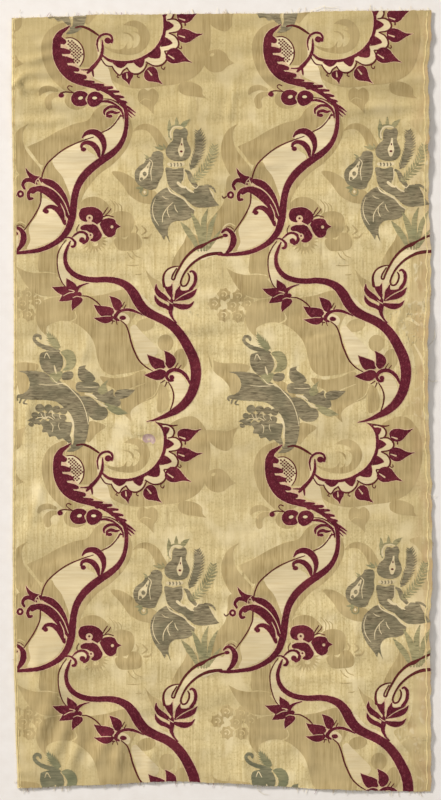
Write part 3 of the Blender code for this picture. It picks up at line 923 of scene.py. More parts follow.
def metal_trunk(figure):
    """The metal-thread trunk that rises from the C, with its bell flower, leaves and cluster."""
    metal, detail = "metal", "metal detail"
    figure.draw(
        metal, "silver",
        shape((38, 433), (44, 430.5), (52, 429), (60, 430), (65, 436), (67, 444), (65, 452),
              (59, 459), (52, 461), (44, 457), (38.5, 450), (36.5, 441)),
        ribbon((62, 430, 3), (51, 427, 5.4), (41, 424, 5.4), (33, 419, 4.6), (29.6, 413.5, 4),
               (32, 409.5, 4), (37, 410.5, 4.2), (38, 414, 3)),
        shape((66, 459), (73, 456), (79, 457), (80, 462), (76, 466.5), (66, 466)),
        shape((9, 455, 0), (30, 455), (44, 458), (54, 465), (66, 471), (66, 494), (46, 492.5),
              (22, 491.5), (7, 489, 0), (16, 484), (23, 478), (24, 468), (19, 459)),
        ribbon((56, 481, 22), (70, 488, 25), (83, 500, 25), (88.5, 516, 20), (88.5, 532, 18),
               (86, 546, 14), (80, 554, 8), (71, 558.5, 1)),
        shape((86, 456), (88, 450.5), (96, 448, 0), (95, 452), (100, 456), (105, 460),
              (108, 466), (103, 470), (91, 468.5), (86.5, 463)),
        shape((83, 476), (85, 470.5), (98, 469.5), (111, 471), (113.5, 477), (109, 482.5),
              (95, 483), (85, 481)),
        shape((104, 485), (114, 480), (124, 482), (130, 479), (131, 487), (138, 491),
              (139, 499), (130, 502), (118, 496), (107, 491)),
        leaf((132, 486), (158.5, 479.5), 12, 1.5),
        shape((88, 489), (99, 488), (107, 493), (113, 500), (121, 503), (122.5, 512),
              (117, 517.5), (104, 517.5), (97, 510), (93, 500)),
        ribbon((21, 485.5, 1.4), (13, 485.5, 2), (7.5, 489, 3.2), (9, 492.5, 1.5)),
        ribbon((21, 489, 1.2), (14, 490, 1.6), (11.5, 495.5, 2.2)),
        ribbon((20, 491, 1.6), (16.5, 496, 2.2), (21.5, 497.5, 1.2)),
    )
    figure.draw(
        metal, "silver",
        *(oval(centre, size, size * 0.9) for centre, size in (
            ((37, 502.5), 5.8), ((48, 503), 5.4), ((58, 504.6), 5.2), ((67, 506.5), 4.8),
            ((30.5, 511.5), 4.2), ((39, 512), 4.8), ((48, 512.4), 5.0), ((57, 514), 5.0),
            ((65.5, 515.6), 4.8),
        )),
        shape((21, 518.5, 0), (26, 515.6), (33, 515), (39, 516.5), (34, 519.5), (27, 520.5)),
        shape((37.5, 521.5), (41.5, 517), (46.5, 519.6), (51.5, 516), (58, 518.6),
              (64.5, 516.4), (70, 520.4), (77.5, 521.5), (76.6, 528), (74.6, 537), (71, 546),
              (65.5, 541.5), (60, 543), (55, 538.6), (48.5, 539.4), (45.6, 534), (39.4, 533.4),
              (40.6, 527.4)),
        *(oval(centre, size, size * 0.8, 20) for centre, size in (
            ((30.5, 519.5), 4.6), ((25.5, 523.6), 3.4), ((35.6, 521.6), 3.0))),
        ribbon((72, 541, 7), (75, 548, 4), (77, 553, 1)),
    )
    figure.draw(
        metal, "sage",
        plume(((47, 407, 3), (52, 415, 10), (58, 423, 10), (63, 429, 5))),
        shape((64, 431), (72, 428), (80, 431.5), (83.5, 441), (81.5, 450), (75, 454.5),
              (66, 455, 0), (70.5, 449), (71, 443), (68, 437)),
        shape((111, 481), (116, 473.5), (125, 466, 0), (121.5, 474), (123, 482), (115, 486)),
        shape((119, 497), (131, 500), (140, 504), (149, 510, 0), (135, 511.5), (124, 505.5)),
        shape((50, 460), (66, 456.5), (63, 466), (57, 470.5), (51, 466)),
    )
    figure.draw(
        detail, "ivory",
        ribbon((42.5, 439, 0.8), (45.5, 432.5, 1.5), (50, 439.5, 0.9)),
        ribbon((55.5, 448, 1), (57, 454, 2.6), (58.4, 459, 1)),
        ribbon((52, 463.5, 0.8), (59, 470.5, 1.2), (69, 472, 1.2), (79, 481, 1.2),
               (89, 493, 1.2), (95, 508, 1.1), (98, 524, 0.8)),
        ribbon((67, 441, 0.7), (69.5, 447, 1.1), (67, 452, 0.7)),
        ribbon((70, 511, 2), (76, 516, 3.4), (79, 526, 2.2), (78, 540, 1.6)),
        ribbon((38, 509, 0.7), (41, 514.5, 1.1), (48, 514, 1.3), (54, 517.5, 1)),
        ribbon((48, 509.5, 0.7), (51, 506, 1), (55, 511, 0.7)),
        ribbon((95, 485, 2.4), (103, 486.5, 2.6), (110, 491.5, 1.4)),
        ribbon((110, 493, 1), (116, 499, 2.2), (123, 501.5, 1)),
        ribbon((31, 516.8, 0.7), (38, 514.6, 1.2), (43, 516.6, 1.2), (46.5, 514.8, 0.7)),
        ribbon((43.5, 507, 0.6), (43.4, 512, 1.1), (45.4, 516.4, 0.7)),
        ribbon((53.5, 507.6, 0.6), (52.6, 512.4, 1.1), (56, 516.4, 0.7)),
        ribbon((62.5, 509.6, 0.6), (61.6, 513.6, 1.1), (63.6, 517, 0.7)),
        ribbon((50, 521.5, 0.6), (53, 525.6, 1.1), (52, 533.6, 0.7)),
        ribbon((61, 521.5, 0.5), (60, 526, 0.9), (62, 531, 0.5)),
        ribbon((36, 472.5, 0.5), (48, 473.4, 1), (62, 473, 0.6)),
        ribbon((92, 476, 0.5), (101, 476.5, 0.9), (112, 476, 0.5)),
    )


def whole_figure():
    figure = Figure()
    for part in (
        ghost_figures, ivory_fields, fruit_bouquet, metal_trunk, crescent, sun_arc, berry_spray,
        first_scroll, left_foliage, three_flower, second_scroll, petal_groups, lotus,
    ):
        part(figure)
    return figure.in_order()


# ------------------------------------------------------------------ the cloth's lie and outline


def waver(x, y, z):
    """A smooth unevenness, about -1 to 1, the same at the same place on every run."""
    return noise.noise(Vector((x, y, z)))


def cloth_outline(node):
    """The CAD cloth's outline in mm, smoothed, with the small waver of a real edge."""
    places = np.array([node.matrix_world @ v.co for v in node.data.vertices]) / MM
    rim = set()
    for face in node.data.polygons:
        if abs(face.normal.z) < 0.5:
            rim.update((round(places[i][0], 2), round(places[i][1], 2)) for i in face.vertices)
    long_to_wide = 1.86
    ordered = sorted(rim, key=lambda p: math.atan2(p[1] / long_to_wide, p[0]))
    corners = [
        max(range(len(ordered)), key=lambda i: sx * ordered[i][0] + sy * ordered[i][1])
        for sx, sy in ((-1, -1), (1, -1), (1, 1), (-1, 1))
    ]
    marked = [(*p, 0) if i in corners else p for i, p in enumerate(ordered)]
    line = shape(*marked, step=RIM_STEP)
    return line + edge_waver(line)


def edge_waver(line):
    """Scallops down the right selvedge, a straighter left one, and torn-looking cut ends."""
    shift = np.zeros_like(line)
    for i, (x, y) in enumerate(line):
        slow = waver(x * 0.02, y * 0.02, 3.1)
        quick = waver(x * 0.25, y * 0.25, 7.7)
        if x > SIDE_FROM:
            shift[i, 0] = 0.9 * math.sin(y / 4.3 + 2.2 * slow) * (0.4 + 0.6 * abs(slow) * 2)
            shift[i, 0] += 0.35 * quick - 0.5
        elif x < -SIDE_FROM:
            shift[i, 0] = 0.35 * slow + 0.3 * quick
        if abs(y) > END_FROM:
            shift[i, 1] = 0.5 * slow + 0.7 * quick
    return shift


def inside(points, outline):
    """Which of the points lie inside the outline, by winding number."""
    found = np.zeros(len(points), dtype=bool)
    low, high = outline.min(axis=0), outline.max(axis=0)
    near = np.nonzero(np.all((points >= low) & (points <= high), axis=1))[0]
    if not len(near):
        return found
    x, y = points[near, 0], points[near, 1]
    turns = np.zeros(len(near), dtype=int)
    for (x0, y0), (x1, y1) in zip(outline, np.roll(outline, -1, axis=0)):
        side = (x1 - x0) * (y - y0) - (x - x0) * (y1 - y0)
        turns += (y0 <= y) & (y1 > y) & (side > 0)
        turns -= (y0 > y) & (y1 <= y) & (side < 0)
    found[near] = turns != 0
    return found


# Small folds and cockles over the CAD cloth's broad ones: centre x, y, turn, length, width, height
CREASES = (
    (130, 419, 1, 230, 12, 2.1),
    (60, 411, -2, 150, 9, 1.5),
    (190, 405, 2, 130, 10, 1.7),
    (-230, 455, 4, 70, 11, 2.0),
    (-215, 377, 5, 90, 12, 2.1),
    (-150, 366, -3, 110, 10, 1.2),
    (20, 300, 2, 160, 9, 1.2),
    (-60, 262, -3, 150, 10, 1.2),
    (120, 225, 4, 130, 9, 1.2),
    (-170, 190, 3, 120, 10, 1.2),
    (-246, -20, 86, 120, 10, 1.7),
    (-60, 88, 3, 90, 7, 1.5),
    (-112, -36, -14, 70, 6, 2.1),
    (-100, -48, -20, 46, 5, 2.0),
    (150, 82, 2, 70, 6, 1.2),
    (225, 100, 80, 60, 8, 1.5),
    (235, 60, 95, 70, 7, 1.5),
    (-226, -405, 78, 110, 16, 3.2),
    (-205, -425, 62, 100, 13, 2.8),
    (-188, -446, 84, 80, 12, 3.2),
    (-150, -432, 70, 90, 14, 2.8),
    (-132, -452, 98, 70, 11, 2.4),
    (-236, -350, 84, 90, 13, 2.1),
    (-90, -462, 80, 60, 12, 2.0),
    (30, -465, 86, 60, 12, 1.7),
    (110, -450, 75, 70, 12, 1.5),
    (200, -440, 70, 90, 14, 1.7),
    (-262, 408, 4, 26, 7, 3.2),
    (-258, 398, -24, 22, 6, 2.8),
    (-236, 436, 3, 80, 8, 2.0),
    (-240, 414, 9, 70, 7, 1.8),
    (-222, 397, -4, 100, 8, 1.8),
    (-232, 356, 7, 80, 8, 1.5),
    (-196, 334, -5, 90, 8, 1.2),
    (96, 392, -4, 110, 8, 1.5),
    (206, 372, 5, 90, 8, 1.5),
    (12, 372, 88, 90, 7, 1.0),
    (-40, 340, 93, 120, 7, 0.9),
    (-176, 60, 84, 110, 8, 1.0),
    (88, 30, 95, 120, 8, 1.0),
    (-30, -250, 86, 140, 9, 1.2),
    (170, -300, 92, 120, 8, 1.0),
    (-238, -130, 80, 120, 9, 1.4),
)


# The fine unevenness: height in mm, waves to the mm across and along, and which pattern
UNEVENNESS = ((1.30, 0.011, 0.022, 1.3), (1.50, 0.016, 0.055, 5.1), (0.55, 0.040, 0.120, 9.4))
FACE_RISE = 1.00  # how far the face is raised, in mm, so that its hollows clear the table
FACE_LOWEST = 0.75


class ClothLie:
    """How high the cloth's face stands at any place: the CAD cloth's lie and the small creases."""

    STEP = 6.0

    def __init__(self, node):
        tree = BVHTree.FromPolygons(
            [node.matrix_world @ v.co for v in node.data.vertices],
            [tuple(face.vertices) for face in node.data.polygons],
        )
        low, high = (np.array(corner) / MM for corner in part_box(node.name))
        self.low = low[:2] - 3 * self.STEP
        count = np.ceil((high[:2] - low[:2]) / self.STEP + 7).astype(int)
        field = np.full(tuple(count), np.nan)
        for i in range(count[0]):
            for j in range(count[1]):
                x, y = self.low + np.array([i, j]) * self.STEP
                hit = tree.ray_cast(Vector((x * MM, y * MM, 1.0)), Vector((0, 0, -1)))[0]
                if hit is not None:
                    field[i, j] = hit.z / MM
        self.field = soften(fill_outwards(field), 2)

    def broad(self, points):
        """The smoothed CAD height under each point, in mm."""
        place = (points - self.low) / self.STEP
        cell = np.clip(np.floor(place).astype(int), 0, np.array(self.field.shape) - 2)
        part = place - cell
        i, j = cell.T
        u, v = part.T
        f = self.field
        return (
            f[i, j] * (1 - u) * (1 - v)
            + f[i + 1, j] * u * (1 - v)
            + f[i, j + 1] * (1 - u) * v
            + f[i + 1, j + 1] * u * v
        )

    def height(self, points):
        """The face's height at each point, in mm: the broad lie, creases and a fine unevenness."""
        total = self.broad(points)
        for x, y, turn, long, wide, high in CREASES:
            lean = math.radians(turn)
            off = points - np.array([x, y])
            along = (off[:, 0] * math.cos(lean) + off[:, 1] * math.sin(lean)) / (long / 2)
            across = off[:, 1] * math.cos(lean) - off[:, 0] * math.sin(lean)
            across = (across + 3 * np.sin(along * 3.1 + x)) / wide
            total = total + high * np.exp(-(across**2) * 2.5) * np.exp(-(along**2) * 2.0)
        uneven = [
            sum(high * waver(x * wide, y * long, which) for high, wide, long, which in UNEVENNESS)
            for x, y in points
        ]
        return np.maximum(total + FACE_RISE + np.array(uneven), FACE_LOWEST)


def fill_outwards(field):
    """Spreads the known heights into the unknown cells round them."""
    field = field.copy()
    while np.isnan(field).any():
        padded = np.pad(field, 1, constant_values=np.nan)
        shifts = [padded[1 + a : padded.shape[0] - 1 + a, 1 + b : padded.shape[1] - 1 + b]
                  for a, b in ((-1, 0), (1, 0), (0, -1), (0, 1))]
        stack = np.array(shifts)
        known = ~np.isnan(stack)
        sums, counts = np.where(known, stack, 0).sum(axis=0), known.sum(axis=0)
        new = np.isnan(field) & (counts > 0)
        field[new] = sums[new] / counts[new]
    return field


def soften(field, rounds):
    """Averages each cell with its four neighbours, a number of times."""
    for _ in range(rounds):
        padded = np.pad(field, 1, mode="edge")
        field = (
            padded[1:-1, 1:-1] * 0.4
            + 0.15 * (padded[:-2, 1:-1] + padded[2:, 1:-1] + padded[1:-1, :-2] + padded[1:-1, 2:])
        )
    return field


# ------------------------------------------------------------------ laying the figure on the cloth


def hung_place(points, column, row):
    """From the repeat's mm to the cloth's mm, with the drift of hand weaving."""
    x = FIRST_COLUMN_X + column * COLUMN_WIDE + points[:, 0]
    down = row * REPEAT_LONG + points[:, 1]
    y = HEAD_Y - down
    bow = 4.0 * np.exp(-((x / 110.0) ** 2)) * np.exp(-(((down - 300) / 130.0) ** 2))
    drift_x = 0.9 * np.sin(down / 71.0 + 0.4) + 0.5 * np.sin(down / 23.0 + x / 60.0)
    drift_x += 2.2 * np.clip((down - 420) / 160.0, 0, 1) * (column == 1)
    drift_y = 0.9 * np.sin(x / 83.0 + down / 150.0)
    return np.stack([x + drift_x, y - bow + drift_y], axis=1)


def woven_edge(outline, colour):
    """The tiny steps that a woven outline has where the pattern weft turns back."""
    if colour not in ("crimson", "silver", "sage", "outline"):
        return outline
    reach = {"crimson": 0.22, "silver": 0.30, "sage": 0.35, "outline": 0.12}[colour]
    wobble = [
        (waver(x * 0.9, y * 0.9, 2.0), waver(x * 0.9, y * 0.9, 8.0))
        for x, y in outline
    ]
    return outline + np.array(wobble) * reach * 2


def selvedge_strips(outline):
    """The stripes down the two selvedges: (colour, outline) in the cloth's mm."""
    strips = []
    for side, bands in (
        (-1, (("selvedge", 0, 2.0), ("damask", 2.0, 3.2), ("selvedge", 3.2, 4.0))),
        (1, (("selvedge", 4.6, 6.0),)),
    ):
        edge = outline[(outline[:, 0] * side > SIDE_FROM) & (np.abs(outline[:, 1]) < 496)]
        edge = edge[np.argsort(edge[:, 1])]
        for colour, start, end in bands:
            rag = np.array([waver(side, y * 0.16, start) for y in edge[:, 1]])
            rag2 = np.array([waver(side, y * 0.21, end + 5) for y in edge[:, 1]])
            near, far = edge.copy(), edge.copy()
            near[:, 0] -= side * (start + (0.5 * rag if start else -2.0))
            far[:, 0] -= side * (end + 0.7 * rag2)
            strips.append((colour, np.vstack([near, far[::-1]])))
    return strips


def rubbed_hole():
    """The one place where the face has rubbed away to the lilac silk behind."""
    return shape((-101, -45), (-97, -42), (-90, -42.5), (-86, -46), (-85, -51), (-88, -55, 0),
                 (-92, -52), (-97, -53), (-101, -50))


def laid_outlines(outline):
    """Every outline of the design that touches the cloth, in its mm and in drawing order."""
    low, high = outline.min(axis=0), outline.max(axis=0)
    art = whole_figure()
    laid = [
        ("worn", hung_place(points, COLUMNS[-1], row)) for row in ROWS for points in edge_ghosts()
    ]
    for stage in range(len(Figure.ORDER)):
        for column in COLUMNS:
            for row in ROWS:
                for number, colour, points in art:
                    if number != stage:
                        continue
                    placed = woven_edge(hung_place(points, column, row), colour)
                    if np.all(placed.max(axis=0) > low) and np.all(placed.min(axis=0) < high):
                        laid.append((colour, placed))
    return laid + [("lilac", rubbed_hole())] + selvedge_strips(outline)


def grid_points(outline, pitch):
    """Staggered rows of points over the cloth, kept a little way in from its outline."""
    margin = 1.5
    low, high = outline.min(axis=0), outline.max(axis=0)
    xs = np.arange(low[0], high[0], pitch)
    ys = np.arange(low[1], high[1], pitch)
    grid = np.array([(x + (pitch / 2) * (j % 2), y) for j, y in enumerate(ys) for x in xs])
    return grid[inside(grid, swollen(outline, -margin))]


def shared_triangulation(outline, laid, pitch):
    """Points, triangles, and each triangle's colour, over the whole face of the cloth."""
    points = [tuple(p) for p in grid_points(outline, pitch)]
    edges = []
    for line in [outline] + [placed for _, placed in laid]:
        start, count = len(points), len(line)
        points += [tuple(p) for p in line]
        edges += [(start + k, start + (k + 1) % count) for k in range(count)]
    flat = [Vector(p) for p in points]
    found = geometry.delaunay_2d_cdt(flat, edges, [], 0, MERGE_WITHIN, False)
    places = np.array([tuple(v) for v in found[0]])
    faces = np.array([tuple(face) for face in found[2]])
    middles = places[faces].mean(axis=1)
    kept = inside(middles, outline)
    faces, middles = faces[kept], middles[kept]
    colours = np.full(len(faces), "ground", dtype=object)
    for colour, placed in laid:
        colours[inside(middles, placed)] = colour
    first, second, third = (places[faces[:, k]] for k in range(3))
    turn = (second[:, 0] - first[:, 0]) * (third[:, 1] - first[:, 1])
    turn -= (second[:, 1] - first[:, 1]) * (third[:, 0] - first[:, 0])
    faces[turn < 0] = faces[turn < 0][:, ::-1]
    return places, faces, colours


def rim_edges(faces):
    """The directed edges that belong to one triangle only."""
    pairs = np.vstack([faces[:, [0, 1]], faces[:, [1, 2]], faces[:, [2, 0]]])
    seen = {(int(a), int(b)) for a, b in pairs}
    return [(a, b) for a, b in seen if (b, a) not in seen]


# ------------------------------------------------------------------ meshes

# All in mm
SHEET_THICK = 0.85
SHEET_LOWEST = 0.02
FACE_DROP = 0.15
CORE_DROP = 0.30  # how far the plain sheet lies under the woven face that it carries
WALL_SINK = 0.05  # how far a layer's wall reaches below the plain sheet's face
WALL_WIDE = 0.4  # the strip that a wall takes up in the flat bake layout
LAYOUT_LONG = 1010.0  # the mm that the whole width of the flat bake layout stands for
LAYOUT_MARGIN = 4
LAYOUT_BACK = 544  # how far the sheet's back lies beside its face in the layout
LAYOUT_MIDDLE = (270, 505)


def new_piece(name, points, faces, places, material, smooth):
    """A mesh object from points in mm, with each corner's bake place in mm of a flat layout."""
    mesh = bpy.data.meshes.new(name)
    mesh.from_pydata((np.array(points) * MM).tolist(), [], [tuple(f) for f in faces])
    mesh.polygons.foreach_set("use_smooth", smooth)
    layer = mesh.uv_layers.new(name="OFBake")
    corners = np.empty(len(mesh.loops), dtype=np.int32)
    mesh.loops.foreach_get("vertex_index", corners)
    layer.data.foreach_set("uv", (np.array(places)[corners] / LAYOUT_LONG).ravel())
    mesh.materials.append(material)
    mesh.validate()
    mesh.update()
    piece = bpy.data.objects.new(name, mesh)
    bpy.context.scene.collection.objects.link(piece)
    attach(piece, "root")
    return piece


def flat_place(points, low, across=0.0):
    """Where a point of the cloth lies in the flat bake layout."""
    return np.stack(
        [points[:, 0] - low[0] + LAYOUT_MARGIN + across, points[:, 1] - low[1] + LAYOUT_MARGIN],
        axis=1,
    )


def ground_sheet(places, faces, heights, material):
    """The plain closed sheet under the woven face: its face, its back and the edge all round."""
    used = np.unique(faces)
    index = np.full(len(places), -1)
    index[used] = np.arange(len(used))
    front, low = places[used], places[used].min(axis=0)
    top = np.column_stack([front, heights[used] - FACE_DROP - CORE_DROP])
    under = np.maximum(heights[used] - FACE_DROP - SHEET_THICK, SHEET_LOWEST)
    bottom = np.column_stack([front, under])
    count = len(used)
    tris = index[faces]
    rim = [(index[a], index[b]) for a, b in rim_edges(faces)]
    walls = [(b, a, a + count, b + count) for a, b in rim]
    all_faces = [tuple(t) for t in tris] + [tuple(t[::-1] + count) for t in tris] + walls
    layout = np.vstack([flat_place(front, low), flat_place(front, low, LAYOUT_BACK)])
    smooth = [True] * (2 * len(tris)) + [False] * len(walls)
    return new_piece("silk_ground", np.vstack([top, bottom]), all_faces, layout, material, smooth)


def colour_layer(name, places, faces, heights, lift, material, rim):
    """One colour's weave: its triangles raised over the sheet, with a low wall along the rim."""
    used = np.unique(faces)
    index = np.full(len(places), -1)
    index[used] = np.arange(len(used))
    front, low = places[used], places.min(axis=0)
    top = np.column_stack([front, heights[used] - FACE_DROP + lift])
    points, layout = [top], [flat_place(front, low)]
    count = len(used)
    walls = []
    foot = -CORE_DROP - WALL_SINK
    if rim:
        ends = np.array(rim)
        first, second = places[ends[:, 0]], places[ends[:, 1]]
        run = second - first
        run /= np.maximum(np.hypot(run[:, 0], run[:, 1]), 1e-6)[:, None]
        out = np.stack([run[:, 1], -run[:, 0]], axis=1) * WALL_WIDE
        z0, z1 = heights[ends[:, 0]] - FACE_DROP, heights[ends[:, 1]] - FACE_DROP
        for flat, z, rise, shove in (
            (first, z0, lift, 0), (second, z1, lift, 0),
            (second, z1, foot, 1), (first, z0, foot, 1),
        ):
            points.append(np.column_stack([flat, z + rise]))
            layout.append(flat_place(flat + out * shove, low))
        n = len(ends)
        walls = [(count + k + n, count + k, count + k + 3 * n, count + k + 2 * n) for k in range(n)]
    all_faces = [tuple(t) for t in index[faces]] + walls
    smooth = [True] * len(faces) + [False] * len(walls)
    return new_piece(name, np.vstack(points), all_faces, np.vstack(layout), material, smooth)


def thread_bundle(name, paths, radius, material):
    """Many fine loose threads as one mesh: a three-sided tube along each path (mm)."""
    points, faces, layout = [], [], []
    for path in paths:
        path = np.array(path)
        start = len(points)
        for k, (x, y, z) in enumerate(path):
            near, far = path[max(k - 1, 0)], path[min(k + 1, len(path) - 1)]
            heading = math.atan2(far[1] - near[1], far[0] - near[0])
            taper = radius * (1.0 if k < len(path) - 1 else 0.35)
            for turn in (0, 120, 240):
                side = math.cos(math.radians(turn)) * taper
                up = math.sin(math.radians(turn)) * taper
                points.append((x - math.sin(heading) * side, y + math.cos(heading) * side, z + up))
                layout.append((x + LAYOUT_MIDDLE[0] + 3 * side, y + LAYOUT_MIDDLE[1]))
        for k in range(len(path) - 1):
            for s in range(3):
                a, b = start + 3 * k + s, start + 3 * k + (s + 1) % 3
                faces.append((a, b, b + 3, a + 3))
        faces.append((start + 2, start + 1, start))
        last = start + 3 * (len(path) - 1)
        faces.append((last, last + 1, last + 2))
    return new_piece(name, points, faces, layout, material, [True] * len(faces))


# ------------------------------------------------------------------ loose threads

THREAD_SEED = 17
THREAD_RADIUS = 0.22
FLOAT_RADIUS = 0.16
THREAD_LOWEST = 0.35


def wandering_thread(start, heading, long, wander, lift, rng, steps=5):
    """A thread that leaves start at heading degrees and bends about as it goes, in mm."""
    x, y, z = start
    angle = math.radians(heading)
    path = [(x, y, z)]
    for k in range(steps):
        angle += rng.uniform(-wander, wander)
        x += math.cos(angle) * long / steps
        y += math.sin(angle) * long / steps
        height = z * (1 - (k + 1) / steps) + lift * rng.random()
        path.append((x, y, max(THREAD_LOWEST, height)))
    return path


def edge_threads(outline, lie, rng):
    """The fringe of cut warp ends at head and foot, and strays down the sides."""
    pale, red, tan = [], [], []
    for sign in (1, -1):
        edge = outline[(outline[:, 1] * sign > END_FROM) & (np.abs(outline[:, 0]) < 264)]
        edge = edge[np.argsort(edge[:, 0])]
        for x in np.arange(-264, 264, 1.1):
            x += rng.uniform(-0.5, 0.5)
            if waver(x * 0.05, sign, 4.0) + rng.uniform(-0.5, 0.5) < -0.1:
                continue
            y = float(np.interp(x, edge[:, 0], edge[:, 1]))
            z = float(lie.height(np.array([[x, y - sign * 2]]))[0]) - 0.5
            long = rng.uniform(0.8, 2.4) + (rng.random() ** 6) * 7
            root = (x, y - sign * 1.2, z)
            path = wandering_thread(root, 90 * sign, long + 1.2, 0.28, 0.2, rng, 4)
            chance = rng.random()
            (red if chance < 0.10 else tan if chance < 0.35 else pale).append(path)
    for side, gap in ((1, 5.0), (-1, 16.0)):
        edge = outline[(outline[:, 0] * side > SIDE_FROM) & (np.abs(outline[:, 1]) < 488)]
        edge = edge[np.argsort(edge[:, 1])]
        y = -486.0
        while y < 486:
            y += rng.uniform(0.4, 1.6) * gap
            x = float(np.interp(y, edge[:, 1], edge[:, 0]))
            z = float(lie.height(np.array([[x - side * 2, y]]))[0]) - 0.4
            heading = (0 if side > 0 else 180) + rng.uniform(-65, 65)
            path = wandering_thread(
                (x - side, y, z), heading, rng.uniform(1.5, 4.0), 0.5, 0.3, rng, 4
            )
            (tan if rng.random() < 0.4 else pale).append(path)
    return pale, red, tan


def worn_threads(lie, laid, rng):
    """Pattern wefts that have worn loose on the face: pale floats near the right edge."""
    paths = []
    for x0, x1, y0, y1, count in (
        (208, 258, 70, 126, 110), (130, 155, 170, 184, 8), (216, 260, 20, 70, 20),
        (-58, -12, 66, 124, 24), (-120, -86, -52, -30, 8), (214, 256, -470, -400, 12),
    ):
        starts = np.array([(rng.uniform(x0, x1), rng.uniform(y0, y1)) for _ in range(count)])
        for x, y in starts[~on_crimson(starts, laid)]:
            z = float(lie.height(np.array([[x, y]]))[0]) + 0.15
            if rng.random() < 0.6:
                heading, long = rng.uniform(82, 98), rng.uniform(2, 6)
            else:
                heading, long = rng.uniform(-10, 10), rng.uniform(2, 5)
            paths.append(
                [(px, py, z + 0.05) for px, py, _ in wandering_thread(
                    (x, y, z), heading, long, 0.10, 0.0, rng, 3)]
            )
    return paths


def on_crimson(points, laid):
    """Which of the points lie on or close by the crimson figure."""
    found = np.zeros(len(points), dtype=bool)
    for colour, outline in laid:
        if colour in ("crimson", "outline"):
            found |= inside(points, swollen(outline, 3.0))
    return found


def loose_ends():
    """The few long threads that have pulled right out, at the head and the right edge."""
    return [
        [(112, 494, 1.4), (118, 499, 1.0), (128, 502.0, 0.6), (140, 500.5, 0.5), (150, 502.5, 0.5)],
        [(262, 70, 1.6), (268, 76, 1.0), (271, 84, 0.6), (270, 92, 0.5)],
        [(263, -118, 1.6), (269, -122, 0.9), (273, -120, 0.5)],
        [(261, 28, 1.6), (268, 24, 0.9), (272, 26, 0.5), (275, 25, 0.5)],
        [(44, -489, 1.4), (46, -496, 0.9), (52, -500, 0.5), (60, -501, 0.5)],
        [(-260, 396, 1.8), (-267, 402, 1.0), (-271, 400, 0.5)],
    ]


# ------------------------------------------------------------------ materials


def tone(red, green, blue):
    """A colour given as it is seen, 0 to 255, as the shader wants it."""
    channels = [c / 255 for c in (red, green, blue)]
    return (*(c / 12.92 if c <= 0.04045 else ((c + 0.055) / 1.055) ** 2.4 for c in channels), 1.0)


